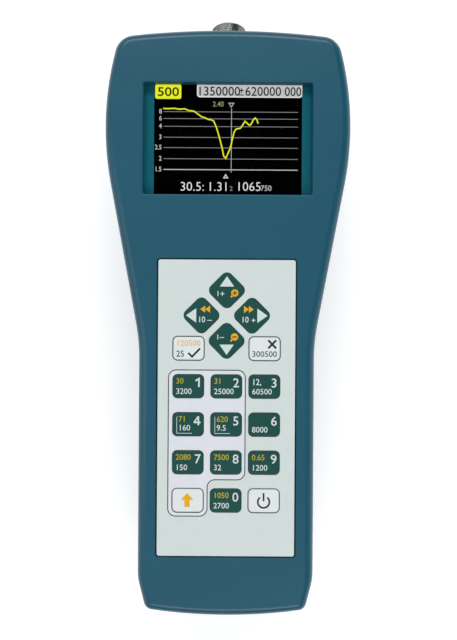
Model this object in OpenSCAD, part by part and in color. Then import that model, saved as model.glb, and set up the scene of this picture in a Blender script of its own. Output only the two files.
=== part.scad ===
// Handheld antenna analyzer: a two-shell plastic case with a wide head for the screen and the
// antenna connector, and a narrower grip with a flat keypad. It lies on its back, with the
// connector pointing along +Y and the screen facing up.

/* [Case] */
// Length of the case, without the connector
case_l = 256; // [248:1:264]
// Width across the head
head_w = 108; // [106:0.5:112]
// Width across the grip
grip_w = 77.4; // [76.4:0.2:80]
// Height from the back face to the front face
depth = 50; // [49:0.5:54]
// Height of the rear shell, up to the parting line
rear_h = 34; // [33.5:0.25:35]
// Thickness of the shell walls
wall = 3; // [2.8:0.1:3.3]
// Rounding of the front edge
front_r = 4.5; // [3.5:0.25:5.5]
// Rounding of the back edge
back_r = 8; // [6:0.5:9]
// Depth and height of the shadow groove along the parting line
seam = 0.5; // [0.3:0.1:0.8]
// Height of the rear shell's lip inside the front shell
lip_h = 1.6; // [1.2:0.1:2]
// Play between the lip and the front shell
lip_play = 0.15; // [0.1:0.05:0.3]
// Width of the shallow label recess in the back
label_w = 58; // [50:1:64]
// Length of the label recess
label_l = 38; // [30:1:44]
// Depth of the label recess
label_sink = 0.4; // [0.2:0.05:0.6]
// Distance from the top end to the middle of the label recess
label_drop = 68; // [62:1:74]

/* [Case outline] */
// How much each side comes in from the head's widest place to the top corners
top_taper = 5.5; // [4:0.25:7]
// Radius of the top corners
top_r = 9.5; // [7:0.5:11]
// How far the top end bows out past its corners
top_bow = 3.1; // [1:0.1:5]
// Distance from the top end to the widest place of the head
head_drop = 39.5; // [36:0.5:43]
// Radius of the head's bulging sides
head_r = 134; // [110:2:150]
// Distance from the bottom end to the start of the flare to the head
neck_up = 119.8; // [116:0.2:123]
// Radius of the bend between grip and flare
neck_r = 84; // [60:2:100]
// Distance from the bottom end to where the grip starts to taper
foot_up = 16.2; // [14:0.2:19]
// Radius of the bend into the foot's taper
foot_bend_r = 25; // [10:1:32]
// How much each side comes in from the grip to the bottom corners
foot_taper = 3.5; // [2.2:0.1:4.5]
// Radius of the bottom corners
foot_r = 4.5; // [3:0.5:7]
// How far the bottom end bows out past its corners
foot_bow = 2.6; // [1:0.1:4]

/* [Screen] */
// Width of the opening in the case
opening_w = 73; // [71:0.5:75]
// Height of the opening along the case
opening_l = 48.2; // [47:0.2:49.4]
// Distance from the top end to the opening
opening_drop = 24.3; // [23:0.1:26]
// Radius of the opening's corners
opening_r = 0.8; // [0.4:0.1:1.5]
// Thickness of the clear window
window_t = 1; // [0.8:0.1:1.4]
// How far the window reaches behind the case, past the opening
window_lap = 2.2; // [1.8:0.1:2.6]
// Thickness of the painted strips behind the window's sides
border_t = 0.3; // [0.2:0.05:0.4]
// Width of the lit area of the screen
lit_w = 64.8; // [63:0.2:66]
// Width of the screen panel
panel_w = 76; // [74:0.5:78]
// Height of the screen panel
panel_l = 55; // [53.5:0.5:56.5]
// Thickness of the screen panel
panel_t = 2.6; // [2.2:0.1:3]
// Wall of the frame that holds the screen panel
frame_wall = 1.2; // [1:0.1:1.4]

/* [Keypad] */
// Width of the keypad overlay
overlay_w = 59.7; // [58.6:0.1:60]
// Length of the keypad overlay
overlay_l = 128.3; // [126:0.1:129]
// Thickness of the keypad overlay
overlay_t = 0.9; // [0.7:0.1:1.1]
// Share of the case's bare length that lies below the overlay
foot_share = 0.3409; // [0.33:0.001:0.36]
// Radius of the overlay's corners
overlay_r = 1.2; // [0.6:0.1:2]
// Gap between the overlay and the side of its recess
overlay_gap = 0.35; // [0.2:0.05:0.4]
// How far the overlay lies below the front face
overlay_sink = 0.2; // [0:0.05:0.3]
// Thickness of the spacer sheet that holds the keys' flanges
spacer_t = 1; // [0.9:0.05:1.2]
// Thickness of the circuit sheet
circuit_t = 0.5; // [0.4:0.05:0.7]
// Thickness of the case under the keypad
floor_t = 1.6; // [1.4:0.1:2]
// Play between the spacer sheet and the side of the recess
sheet_play = 0.5; // [0.4:0.05:0.8]

/* [Keys] */
// Width of a rectangular key
key_w = 13.5; // [13:0.1:13.9]
// Height of a rectangular key along the case
key_l = 10.3; // [9.8:0.1:10.6]
// Corner radius of a rectangular key
key_r = 2.1; // [1.5:0.1:2.6]
// Distance between the middles of neighbouring keys
key_pitch = 16.4; // [16.2:0.1:16.6]
// Side of a diamond key
arrow_side = 12.3; // [11.8:0.1:12.5]
// Corner radius of a diamond key
arrow_r = 2.65; // [2:0.05:3]
// Distance from the middle of the four arrow keys to each of them
arrow_reach = 10.9; // [10.8:0.05:11.2]
// Distance from the top of the overlay to the middle of the arrow keys
arrow_drop = 24.3; // [24:0.1:24.6]
// Distance from the middle of the arrow keys down to the OK and cancel keys
ok_drop = 14.2; // [14:0.1:14.4]
// Distance from the OK and cancel keys down to the first row of digits
digit_drop = 16.35; // [16:0.05:16.6]
// How far a key stands above the overlay
key_proud = 0.3; // [0.2:0.05:0.5]
// Gap around a key in the overlay
key_gap = 0.12; // [0.08:0.01:0.2]
// Width of the flange that keeps a key under the overlay
flange_w = 0.6; // [0.45:0.05:0.65]
// Thickness of that flange
flange_t = 0.4; // [0.3:0.05:0.45]
// Height that a key travels when pressed
key_travel = 0.4; // [0.3:0.05:0.45]
// Radius of a contact dome
dome_r = 3; // [2.6:0.1:3.4]
// Height of a contact dome
dome_h = 0.8; // [0.6:0.05:0.9]

/* [Antenna connector] */
// Radius of the outer thread
thread_r = 7.94; // [7.8:0.02:8.1]
// How far the connector stands out of the case
conn_out = 11.3; // [11:0.1:12]
// Distance from the front face to the connector's axis
conn_drop = 26; // [25.6:0.1:26.6]
// Radius of the flange inside the case
flange_r = 9.6; // [9.3:0.1:10]
// Thickness of the flange inside the case
conn_flange_t = 2.2; // [1.8:0.1:2.6]
// Radius of the open mouth
mouth_r = 4.25; // [4.1:0.05:4.4]
// Depth of the open mouth
mouth_l = 9; // [8:0.1:9.6]
// Radius of the bore that holds the insulator
insulator_r = 3.5; // [3.2:0.1:3.7]
// Radius of the centre contact
contact_r = 1.5; // [1.4:0.05:1.6]
// Bore radius of the centre contact
contact_bore_r = 0.85; // [0.82:0.01:0.9]
// Radius of the centre contact's tail
tail_r = 0.65; // [0.55:0.05:0.75]
// Size of the nut across its flats
nut_af = 19; // [18.6:0.2:20]
// Thickness of the nut
nut_t = 2.6; // [2.2:0.1:3]
// Thickness of the washer
washer_t = 0.8; // [0.6:0.1:1]
// Radius of the washer
washer_r = 9.2; // [9:0.1:9.4]
// Distance from the end of the case to the nut
nut_clear = 0.2; // [0.1:0.05:0.4]
// Height of the bevel on the connector's tip
tip_bevel = 0.6; // [0.4:0.1:0.8]
// Play around the thread in its hole, nut and washer
thread_play = 0.06; // [0.04:0.01:0.09]
// How much thinner the barrel is behind the thread
relief = 0.3; // [0.25:0.01:0.35]
// Length of thinner barrel that shows above the nut
relief_l = 0.4; // [0.3:0.05:0.6]

/* [Battery] */
// Radius of a cell
cell_r = 7.1; // [7:0.05:7.2]
// Length of a cell without its cap
cell_l = 49.2; // [48.8:0.1:49.4]
// Radius of a cell's cap
cap_r = 2.7; // [2.5:0.1:2.9]
// Height of a cell's cap
cap_l = 1.2; // [1:0.1:1.4]
// Space between neighbouring cells
cell_gap = 0.9; // [0.7:0.1:1]
// Space around the cells in the tray
cell_play = 0.4; // [0.3:0.05:0.5]
// Thickness of the tray's walls
tray_wall = 1.2; // [1.1:0.1:1.4]
// Thickness of a contact plate
plate_t = 0.5; // [0.4:0.05:0.6]
// Depth of the spring bulge of a contact plate
plate_bulge = 1.2; // [1:0.1:1.4]
// Distance from the bottom end to the tray
tray_up = 8; // [7.5:0.1:8.6]
// Distance of each battery lead from the middle
lead_x = 9; // [7:0.5:11]
// Radius of a battery lead
lead_r = 0.8; // [0.6:0.05:0.9]
// Distance from the tray's inner end to the leads
lead_inset = 6; // [4:0.5:8]

/* [Battery door] */
// Width of the door
door_w = 50; // [49.4:0.2:51]
// Length of the door from the bottom end
door_l = 72; // [71:0.5:74]
// Thickness of the door
door_t = 2.1; // [1.9:0.05:2.2]
// How far the tongues on the door's sides reach into the rear shell
tongue_w = 1.2; // [1:0.1:1.3]
// Thickness of the tongues
tongue_t = 1; // [0.8:0.05:1.1]
// Play around the door
door_play = 0.2; // [0.15:0.01:0.25]
// Number of thumb grooves in the door
thumb_grooves = 6; // [3:1:8]
// Distance between the thumb grooves
thumb_pitch = 2.4; // [2:0.1:2.8]
// Length of a thumb groove
thumb_w = 22; // [18:1:28]
// Radius of a thumb groove
thumb_r = 0.9; // [0.8:0.05:1]
// Distance from the door's inner end to the first groove
thumb_inset = 10; // [8:0.5:14]

/* [Boards] */
// Thickness of the circuit boards
board_t = 1.6; // [1.4:0.1:1.7]
// Height of the main board's underside
board_z = 36.8; // [36.6:0.1:37]
// Space between the main board and the posts beside it
board_gap = 0.8; // [0.6:0.1:1.2]
// Distance from the top end to the main board
board_drop = 9; // [8.6:0.1:9.6]
// Distance from the top end to the board's narrow part
board_step = 88; // [87:0.5:90]
// Width of the radio board
radio_w = 46; // [44:0.5:48]
// Length of the radio board
radio_l = 42; // [40:0.5:44]
// Width of the shield can
can_w = 36; // [34:0.5:37]
// Length of the shield can
can_l = 26; // [24:0.5:27]
// Height of the shield can
can_h = 6; // [5:0.5:7]
// Wall of the shield can
can_wall = 0.4; // [0.3:0.05:0.5]
// Radius of the buzzer
buzzer_r = 6; // [5:0.25:7]
// Height of the buzzer
buzzer_h = 4; // [3.5:0.1:4.5]
// Distance from the board's bottom end to the buzzer
buzzer_up = 86.3; // [82:0.1:90]
// Width of the header between the two boards
link_w = 16; // [13:0.5:19]
// Thickness of the header between the two boards
link_t = 4; // [3.6:0.1:4.4]

/* [Screws] */
// Radius of a case screw
case_screw_r = 1.45; // [1.4:0.05:1.5]
// Length of a case screw under its head
case_screw_l = 17; // [16:0.5:18]
// Radius of a case screw's head
case_head_r = 2.8; // [2.6:0.1:2.9]
// Height of a case screw's head
case_head_h = 2; // [1.8:0.1:2.2]
// Height of the seat for a case screw's head
case_seat_z = 24; // [22:0.5:25]
// Radius of the posts for the case screws
post_r = 3.7; // [3.6:0.05:3.8]
// Radius of a board screw
board_screw_r = 1; // [0.9:0.05:1.1]
// Length of a board screw under its head
board_screw_l = 6; // [5.6:0.1:6.4]
// Radius of a board screw's head
board_head_r = 1.9; // [1.8:0.05:2]
// Height of a board screw's head
board_head_h = 1.3; // [1.2:0.1:1.4]
// Radius of the posts for the board screws
board_post_r = 2.6; // [2.5:0.05:2.7]
// Play around a screw in its hole
screw_play = 0.05; // [0.03:0.01:0.08]
// Space around a screw in a part that it passes through
screw_gap = 0.2; // [0.15:0.01:0.25]
// Space around a case screw's head
head_gap = 0.3; // [0.25:0.01:0.35]
// Distance from the top end to the head's case screws
head_screw_drop = 20; // [18:0.5:22]
// Distance of the upper board screws from the middle
board_screw_x = 30; // [28:0.5:32]
// Distance of the board screws from the edges of the main board
board_screw_inset = 4.5; // [4.2:0.1:5]

/* [Sockets] */
// Width of the charging and data socket
usb_w = 7.6; // [7.4:0.1:7.8]
// Height of the socket
usb_h = 2.9; // [2.7:0.1:3.1]
// Length of the socket
usb_l = 6.6; // [6.2:0.1:7]
// Wall of the socket
usb_wall = 0.4; // [0.35:0.05:0.45]
// Space around the socket in the case
usb_gap = 0.7; // [0.5:0.05:0.8]

/* [Hidden] */
$fn = 48;
eps = 0.01;
y_top = (case_l - conn_out) / 2;
y_bot = -(case_l + conn_out) / 2;
cavity_z = depth - wall;
top_w = head_w - 2 * top_taper;
foot_w = grip_w - 2 * foot_taper;

// Bare length above the opening, between opening and keypad, and below the keypad
bare_l = case_l - opening_l - overlay_l;
overlay_up = bare_l * foot_share;

// Keypad heights, from the recess floor up
overlay_top = depth - overlay_sink;
overlay_z = overlay_top - overlay_t;
spacer_z = overlay_z - spacer_t;
circuit_z = spacer_z - circuit_t;
floor_z = circuit_z - floor_t;
overlay_y = y_bot + overlay_up + overlay_l / 2;
arrow_y = y_bot + overlay_up + overlay_l - arrow_drop;
ok_y = arrow_y - ok_drop;
digit_y = ok_y - digit_drop;
flange_play = 0.02;
flange_top = overlay_z - flange_play;
pocket_gap = 0.25;
dome_room = 0.05;
pocket_top = circuit_z + circuit_t + dome_h + dome_room + key_travel;

key_dark = "#2c5751";
key_pale = "#eef0f2";

// Every key: node name, middle x, middle y, whether it is a diamond, and its colour
arrow_keys = [
    ["key_up", 0, arrow_y + arrow_reach, true, key_dark],
    ["key_left", -arrow_reach, arrow_y, true, key_dark],
    ["key_right", arrow_reach, arrow_y, true, key_dark],
    ["key_down", 0, arrow_y - arrow_reach, true, key_dark]
];
edge_keys = [
    ["key_ok", -key_pitch, ok_y, false, key_pale],
    ["key_cancel", key_pitch, ok_y, false, key_pale],
    ["key_function", -key_pitch, digit_y - 3 * key_pitch, false, key_pale],
    ["key_0", 0, digit_y - 3 * key_pitch, false, key_dark],
    ["key_power", key_pitch, digit_y - 3 * key_pitch, false, key_pale]
];
digit_keys = [
    for (n = [1 : 9])
        [str("key_", n), ((n - 1) % 3 - 1) * key_pitch, digit_y - floor((n - 1) / 3) * key_pitch,
         false, key_dark]
];
keys = concat(arrow_keys, edge_keys, digit_keys);

// Screen heights, from the window down
opening_y = y_top - opening_drop - opening_l / 2;
window_z = cavity_z - window_t;
border_z = window_z - border_t;
panel_z = border_z - panel_t;
board_top = board_z + board_t;
frame_w = panel_w + 2 * frame_wall;
frame_l = panel_l + 2 * frame_wall;

// Connector places along its axis
conn_z = depth - conn_drop;
nut_y = y_top + nut_clear;
seat_y = nut_y - washer_t;
thread_y = nut_y + nut_t + relief_l;
barrel_r = thread_r - relief;
inner_y = y_top - wall;
tip_y = y_top + conn_out;
contact_back = inner_y - conn_flange_t - 1;

// Radio board under the connector's tail
radio_top = conn_z - tail_r;
radio_z = radio_top - board_t;
radio_y = inner_y - conn_flange_t - 3 - radio_l / 2;
radio_screw_x = radio_w / 2 - board_post_r - 0.8;
radio_screw_y = radio_l / 2 - board_post_r - 0.8;
radio_screws = [[radio_screw_x, -radio_screw_y], [radio_screw_x, radio_screw_y]];
tail_end = radio_y + radio_l / 2 - 6;
can_y = radio_y + 1;

// Battery tray and cells
cell_pitch = 2 * cell_r + cell_gap;
cell_z = wall - door_play + cell_r;
tray_w = 2 * cell_pitch + 2 * cell_r + 2 * cell_play + 2 * tray_wall;
bay_l = cell_l + cap_l + 2 * (plate_t + plate_bulge);
tray_l = bay_l + 2 * tray_wall;
tray_y = y_bot + tray_up;
tray_top = cell_z + cell_r + cell_play + tray_wall;
bay_y = tray_y + tray_wall;
cell_y = bay_y + plate_t + plate_bulge;

// Screw places
case_screws = [
    [head_w / 2 - wall - post_r - 2.8, y_top - head_screw_drop],
    [grip_w / 2 - wall - post_r - 3.3, y_bot + door_l + 2 * post_r + 0.6]
];
board_head_w = 2 * (case_screws[0][0] - post_r - board_gap);
board_grip_w = 2 * (case_screws[1][0] - post_r - board_gap);
board_foot = y_bot + wall + 0.7;
board_screws = [
    [board_screw_x, y_top - board_drop - board_screw_inset],
    [board_screw_x, y_top - board_step + board_screw_inset],
    [board_grip_w / 2 - board_screw_inset, board_foot + 2 * board_screw_inset]
];

// The case's outline: a closed path of corners, each with its own radius

function unit(v) = v / norm(v);
function left_of(v) = [-v[1], v[0]];
function cross2(a, b) = a[0] * b[1] - a[1] * b[0];
function turned(v, angle) = [v[0] * cos(angle) - v[1] * sin(angle), v[0] * sin(angle) + v[1] * cos(angle)];

// Angle between the two flanks of the head when they would meet at x
function flank_turn(x) =
    atan2(x - grip_w / 2, case_l - neck_up - head_drop) + atan2(x - top_w / 2, head_drop - top_bow);

// How far beyond the head's side its flanks would meet, found by a few tries
function bulge(b, tries) =
    tries == 0 ? b : bulge(head_r * (1 / cos(flank_turn(head_w / 2 + b) / 2) - 1), tries - 1);
head_bulge = bulge(2, 6);
bow_steps = [0.25, 0.5, 0.75];

right_corners = concat(
    [for (f = bow_steps) [f * foot_w / 2, y_bot + foot_bow * f * f, 0, 0]],
    [[foot_w / 2, y_bot + foot_bow, foot_r, 4],
     [grip_w / 2, y_bot + foot_up, foot_bend_r, 2],
     [grip_w / 2, y_bot + neck_up, neck_r, 4],
     [head_w / 2 + head_bulge, y_top - head_drop, head_r, 6],
     [top_w / 2, y_top - top_bow, top_r, 6]],
    [for (i = [2 : -1 : 0]) [bow_steps[i] * top_w / 2, y_top - top_bow * pow(bow_steps[i], 2), 0, 0]]
);
corners = concat(
    [[0, y_bot, 0, 0]],
    right_corners,
    [[0, y_top, 0, 0]],
    [for (i = [len(right_corners) - 1 : -1 : 0]) let (c = right_corners[i]) [-c[0], c[1], c[2], c[3]]]
);
least_r = 0.5;

// Points of one corner of the outline moved inwards by inset
function corner_points(i, inset) =
    let (count = len(corners),
         a = corners[(i + count - 1) % count],
         b = corners[i],
         c = corners[(i + 1) % count],
         u = unit([b[0] - a[0], b[1] - a[1]]),
         v = unit([c[0] - b[0], c[1] - b[1]]),
         nu = left_of(u),
         nv = left_of(v),
         p = [b[0], b[1]] + inset * (nu + nv) / (1 + nu * nv))
    b[3] == 0 ? [p] :
    let (turn = asin(cross2(u, v)),
         side = sign(turn),
         r = side > 0 ? max(b[2] - inset, least_r) : b[2] + inset,
         centre = p - u * r * tan(abs(turn) / 2) + nu * r * side)
    [for (j = [0 : b[3]]) centre - side * r * turned(nu, turn * j / b[3])];

function ring(inset) = [for (i = [0 : len(corners) - 1]) each corner_points(i, inset)];

// A solid through rings of the outline, each given as [inset, height]
module loft(rings) {
    n = len(ring(0));
    last = (len(rings) - 1) * n;
    points = [for (r = rings) each [for (p = ring(r[0])) [p[0], p[1], r[1]]]];
    sides = [
        for (k = [0 : len(rings) - 2], i = [0 : n - 1])
            let (a = k * n + i, b = k * n + (i + 1) % n)
            each [[a, a + n, b + n], [a, b + n, b]]
    ];
    polyhedron(
        points = points,
        faces = concat([[for (i = [0 : n - 1]) i]], sides, [[for (i = [n - 1 : -1 : 0]) last + i]])
    );
}

// Rounded rectangle about the origin, with true arcs
module rounded(w, l, r) {
    square([w - 2 * r, l], center = true);
    square([w, l - 2 * r], center = true);
    for (x = [-1, 1], y = [-1, 1])
        translate([x * (w / 2 - r), y * (l / 2 - r)]) circle(r);
}

module slab(w, l, r, z, h) {
    translate([0, 0, z]) linear_extrude(h) rounded(w, l, r);
}

// Box centred on x, given by its width and its y and z ranges
module bar(w, y0, y1, z0, z1) {
    translate([-w / 2, y0, z0]) cube([w, y1 - y0, z1 - z0]);
}

// Cylinder along +Y on the connector's axis, from y0 to y1
module axial(r, y0, y1) {
    translate([0, y0, conn_z]) rotate([-90, 0, 0]) cylinder(r = r, h = y1 - y0);
}

module mirrored(places) {
    for (p = places, s = [-1, 1])
        translate([s * p[0], p[1], 0]) children();
}

// Outline of a key grown by d on every side
module key_outline(k, d) {
    translate([k[1], k[2]]) {
        if (k[3])
            rotate(45) rounded(arrow_side + 2 * d, arrow_side + 2 * d, arrow_r + d);
        else
            rounded(key_w + 2 * d, key_l + 2 * d, key_r + d);
    }
}

// Shells

front_draft = 0.4;
front_steps = [18 : 18 : 90];
front_rings = concat(
    [[seam, rear_h], [seam, rear_h + seam], [0, rear_h + seam], [front_draft, depth - front_r]],
    [for (a = front_steps) [front_draft + front_r * (1 - cos(a)), depth - front_r + front_r * sin(a)]]
);
front_cavity = [
    [wall, rear_h - eps],
    [wall + front_draft, cavity_z - 1.5],
    [wall + front_draft + 1.5, cavity_z]
];
back_steps = [0 : 18 : 90];
rear_rings = concat(
    [for (a = back_steps) [back_r * (1 - sin(a)), back_r * (1 - cos(a))]],
    [[0, rear_h]]
);
back_inner_r = back_r - wall;
rear_cavity = concat(
    [for (a = [0 : 30 : 90]) [wall + back_inner_r * (1 - sin(a)), wall + back_inner_r * (1 - cos(a))]],
    [[wall, rear_h + lip_h + eps]]
);
lip_in = wall / 2;

module front_shell() {
    recess_w = overlay_w + 2 * overlay_gap;
    recess_l = overlay_l + 2 * overlay_gap;
    case_hole_h = cavity_z - rear_h - 1;
    color("#2c5a6e") difference() {
        union() {
            difference() {
                loft(front_rings);
                loft(front_cavity);
                loft([[lip_in, rear_h - eps], [lip_in, rear_h + lip_h + lip_play]]);
            }
            translate([0, overlay_y, 0])
                slab(recess_w + wall, recess_l + wall, overlay_r, floor_z, cavity_z - floor_z + eps);
            mirrored(case_screws)
                translate([0, 0, rear_h]) cylinder(r = post_r, h = cavity_z - rear_h + eps);
            mirrored(board_screws)
                translate([0, 0, board_top]) cylinder(r = board_post_r, h = cavity_z - board_top + eps);
        }
        translate([0, opening_y, 0])
            slab(opening_w, opening_l, opening_r, cavity_z - 1, wall + 2);
        translate([0, overlay_y, 0])
            slab(recess_w, recess_l, overlay_r + overlay_gap, circuit_z, depth);
        tail_slot();
        mirrored(case_screws)
            translate([0, 0, rear_h - eps]) cylinder(r = case_screw_r + screw_play, h = case_hole_h);
        mirrored(board_screws)
            translate([0, 0, board_top - eps]) cylinder(r = board_screw_r + screw_play, h = board_screw_l);
        usb_hole();
    }
}

module rear_shell() {
    color("#2a5568") difference() {
        union() {
            difference() {
                union() {
                    loft(rear_rings);
                    loft([[lip_in + lip_play, rear_h - 1], [lip_in + lip_play, rear_h + lip_h]]);
                }
                loft(rear_cavity);
            }
            mirrored(case_screws)
                translate([0, 0, wall / 2]) cylinder(r = post_r + 0.8, h = rear_h - wall / 2);
            translate([0, radio_y, 0]) mirrored(radio_screws)
                translate([0, 0, wall - eps]) cylinder(r = board_post_r, h = radio_z - wall + eps);
        }
        mirrored(case_screws) {
            translate([0, 0, -1]) cylinder(r = case_head_r + head_gap, h = case_seat_z + 1);
            cylinder(r = case_screw_r + screw_gap, h = rear_h + 1);
        }
        translate([0, radio_y, radio_z - board_screw_l]) mirrored(radio_screws)
            cylinder(r = board_screw_r + screw_play, h = board_screw_l + eps);
        axial(thread_r + thread_play, inner_y - 2, y_top + 2);
        axial(washer_r + 0.3, seat_y, y_top + 2);
        axial(flange_r + 0.4, inner_y - 4, inner_y);
        door_cut();
        bar(tray_w - 2 * tray_wall, bay_y, bay_y + bay_l, -1, wall + 1);
        translate([0, y_top - label_drop, 0]) slab(label_w, label_l, 2, -1, label_sink + 1);
    }
}

// The door with d of room around it, for the door itself and for its cut in the rear shell
module door_space(d) {
    door_end = y_bot + door_l + d;
    bar(door_w + 2 * d, y_bot - 5, door_end, -1, door_t + d);
    bar(door_w + 2 * tongue_w + 2 * d, y_bot - 5, door_end, door_t - tongue_t - d, door_t + d);
}

module door_cut() {
    door_space(door_play);
}

module battery_door() {
    color("#2a5568") difference() {
        intersection() {
            loft([for (r = rear_rings) if (r[1] < rear_h / 2) r]);
            door_space(0);
        }
        for (i = [0 : thumb_grooves - 1])
            translate([0, y_bot + door_l - thumb_inset - i * thumb_pitch, -thumb_r / 2])
                rotate([0, 90, 0]) cylinder(r = thumb_r, h = thumb_w, center = true);
    }
}

module usb_hole() {
    socket_z = board_top + usb_h / 2;
    translate([0, y_bot, socket_z]) rotate([90, 0, 0])
        linear_extrude(2 * wall + 4, center = true)
            rounded(usb_w + 2 * usb_gap, usb_h + 2 * usb_gap, 1);
}

module case_screws() {
    color("silver") mirrored(case_screws) {
        translate([0, 0, case_seat_z - case_head_h]) difference() {
            cylinder(r = case_head_r, h = case_head_h);
            for (a = [0, 90]) rotate(a) translate([-1.5, -0.35, -1]) cube([3, 0.7, 2]);
        }
        translate([0, 0, case_seat_z - eps]) cylinder(r = case_screw_r, h = case_screw_l);
    }
}

// Screen

module screen_window() {
    color("#8fb0b8", 0.4) translate([0, opening_y, 0])
        slab(opening_w + 2 * window_lap, opening_l + 2 * window_lap, opening_r, window_z, window_t);
}

module screen_border() {
    strip_l = opening_l + 2 * window_lap;
    color("#165a66") translate([0, opening_y, 0]) difference() {
        slab(opening_w + 2 * window_lap, strip_l, opening_r, border_z, border_t);
        bar(lit_w, -strip_l, strip_l, border_z - 1, window_z + 1);
    }
}

module screen_panel() {
    color("#101214") translate([0, opening_y, 0]) slab(panel_w, panel_l, 0.6, panel_z, panel_t);
}

module screen_frame() {
    shelf = 1;
    fit = 0.1;
    color("#c9ccce") translate([0, opening_y, 0]) difference() {
        slab(frame_w, frame_l, 1, board_top, border_z - board_top);
        slab(panel_w + 2 * fit, panel_l + 2 * fit, 0.6, panel_z, panel_t + 1);
        slab(panel_w - 4, panel_l - 4, 2, board_top + shelf, panel_z - board_top);
        bar(frame_w / 3, -frame_l, -frame_l / 2 + frame_wall + 3, board_top - 1, panel_z + eps);
    }
}

module screen_ribbon() {
    ribbon_y = opening_y - panel_l / 2 + 1.5;
    color("#b8862d") bar(22, ribbon_y, ribbon_y + 0.3, board_top, panel_z);
}

// Keypad

module keypad_overlay() {
    color("#d0dbd9") difference() {
        translate([0, overlay_y, 0]) slab(overlay_w, overlay_l, overlay_r, overlay_z, overlay_t);
        for (k = keys)
            translate([0, 0, overlay_z - 1]) linear_extrude(overlay_t + 2) key_outline(k, key_gap);
    }
}

module keypad_spacer() {
    color("#e6e6e0") difference() {
        translate([0, overlay_y, 0])
            slab(overlay_w - 2 * sheet_play, overlay_l - 2 * sheet_play, overlay_r, spacer_z, spacer_t);
        for (k = keys)
            translate([0, 0, spacer_z - 1])
                linear_extrude(spacer_t + 2) key_outline(k, flange_w + pocket_gap);
    }
}

module keypad_circuit() {
    color("#3b6f4b") translate([0, overlay_y, 0])
        slab(overlay_w - 2 * sheet_play, overlay_l - 2 * sheet_play, overlay_r, circuit_z, circuit_t);
}

module keypad_domes() {
    color("#c8c8c4") for (k = keys)
        translate([k[1], k[2], spacer_z]) {
            cylinder(r1 = dome_r, r2 = dome_r * 0.75, h = dome_h / 2);
            translate([0, 0, dome_h / 2]) cylinder(r1 = dome_r * 0.75, r2 = dome_r / 3, h = dome_h / 2);
        }
}

tail_w = 14;
tail_t = 0.4;
tail_y = y_bot + overlay_up + overlay_l - 6;

module tail_slot() {
    translate([0, tail_y, 0]) bar(tail_w + 2, -1.2, 1.2 + tail_t, floor_z - 1, circuit_z + 1);
}

module keypad_tail() {
    socket_h = 1.8;
    color("#b8862d") translate([0, tail_y, 0]) {
        bar(tail_w, 0, tail_t, board_top + socket_h - eps, circuit_z);
        bar(tail_w + 3, -1.4, 1.8, board_top, board_top + socket_h);
    }
}

module key(k) {
    color(k[4]) difference() {
        union() {
            translate([0, 0, flange_top - flange_t]) linear_extrude(flange_t) key_outline(k, flange_w);
            translate([0, 0, flange_top - eps])
                linear_extrude(overlay_top + key_proud - flange_top + eps) key_outline(k, 0);
        }
        translate([k[1], k[2], spacer_z - 1])
            cylinder(r = dome_r + 0.5, h = pocket_top - spacer_z + 1);
    }
}

// Boards

module main_board() {
    step_y = y_top - board_step;
    color("#1f5a3c") difference() {
        union() {
            bar(board_head_w, step_y, y_top - board_drop, board_z, board_top);
            bar(board_grip_w, board_foot, step_y + eps, board_z, board_top);
        }
        mirrored(board_screws)
            translate([0, 0, board_z - 1]) cylinder(r = board_screw_r + screw_gap, h = board_t + 2);
    }
}

// Chips on the underside of the main board: x, y from the top end, width, length, height
chips = [[-24, 40, 14, 14, 1.6], [20, 46, 16, 12, 1.4], [0, 70, 10, 10, 1.2], [0, 128, 12, 8, 1.2]];

module board_chips() {
    color("#22252a") for (c = chips)
        translate([c[0], y_top - c[1], 0]) bar(c[2], -c[3] / 2, c[3] / 2, board_z - c[4], board_z);
}

module board_screws() {
    color("silver") mirrored(board_screws) {
        translate([0, 0, board_z - board_head_h]) cylinder(r = board_head_r, h = board_head_h);
        translate([0, 0, board_z - eps]) cylinder(r = board_screw_r, h = board_screw_l);
    }
}

module buzzer() {
    color("#15181a")
        translate([0, board_foot + buzzer_up, board_z - buzzer_h]) cylinder(r = buzzer_r, h = buzzer_h);
}

module usb_socket() {
    color("#c4c8cc") translate([0, y_bot + wall / 2, board_top]) difference() {
        bar(usb_w, 0, usb_l, 0, usb_h);
        bar(usb_w - 2 * usb_wall, -1, usb_l - 1, usb_wall, usb_h - usb_wall);
    }
}

module radio_board() {
    color("#1f5a3c") translate([0, radio_y, 0]) difference() {
        bar(radio_w, -radio_l / 2, radio_l / 2, radio_z, radio_top);
        mirrored(radio_screws)
            translate([0, 0, radio_z - 1]) cylinder(r = board_screw_r + screw_gap, h = board_t + 2);
    }
}

module radio_screws() {
    color("silver") translate([0, radio_y, 0])
        mirrored(radio_screws) {
            translate([0, 0, radio_top]) cylinder(r = board_head_r, h = board_head_h);
            translate([0, 0, radio_top - board_screw_l])
                cylinder(r = board_screw_r, h = board_screw_l + eps);
        }
}

module shield_can() {
    color("#c9ccce") translate([0, can_y, 0]) difference() {
        bar(can_w, -can_l / 2, can_l / 2, radio_top, radio_top + can_h);
        bar(can_w - 2 * can_wall, -can_l / 2 + can_wall, can_l / 2 - can_wall,
            radio_top - 1, radio_top + can_h - can_wall);
    }
}

module board_link() {
    link_y = radio_y - radio_l / 2 + link_t / 2;
    color("#1a1c1f") bar(link_w, link_y, link_y + link_t, radio_top, board_z);
}

// Antenna connector

module connector_body() {
    body_back = inner_y - conn_flange_t;
    color("#b9b9b5") difference() {
        union() {
            axial(flange_r, body_back, inner_y);
            axial(barrel_r, inner_y - eps, thread_y + eps);
            axial(thread_r, thread_y, tip_y - tip_bevel);
            translate([0, tip_y - tip_bevel, conn_z]) rotate([-90, 0, 0])
                cylinder(r1 = thread_r, r2 = thread_r - tip_bevel, h = tip_bevel);
        }
        axial(mouth_r, tip_y - mouth_l, tip_y + 1);
        axial(insulator_r, body_back - 1, tip_y);
    }
}

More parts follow.
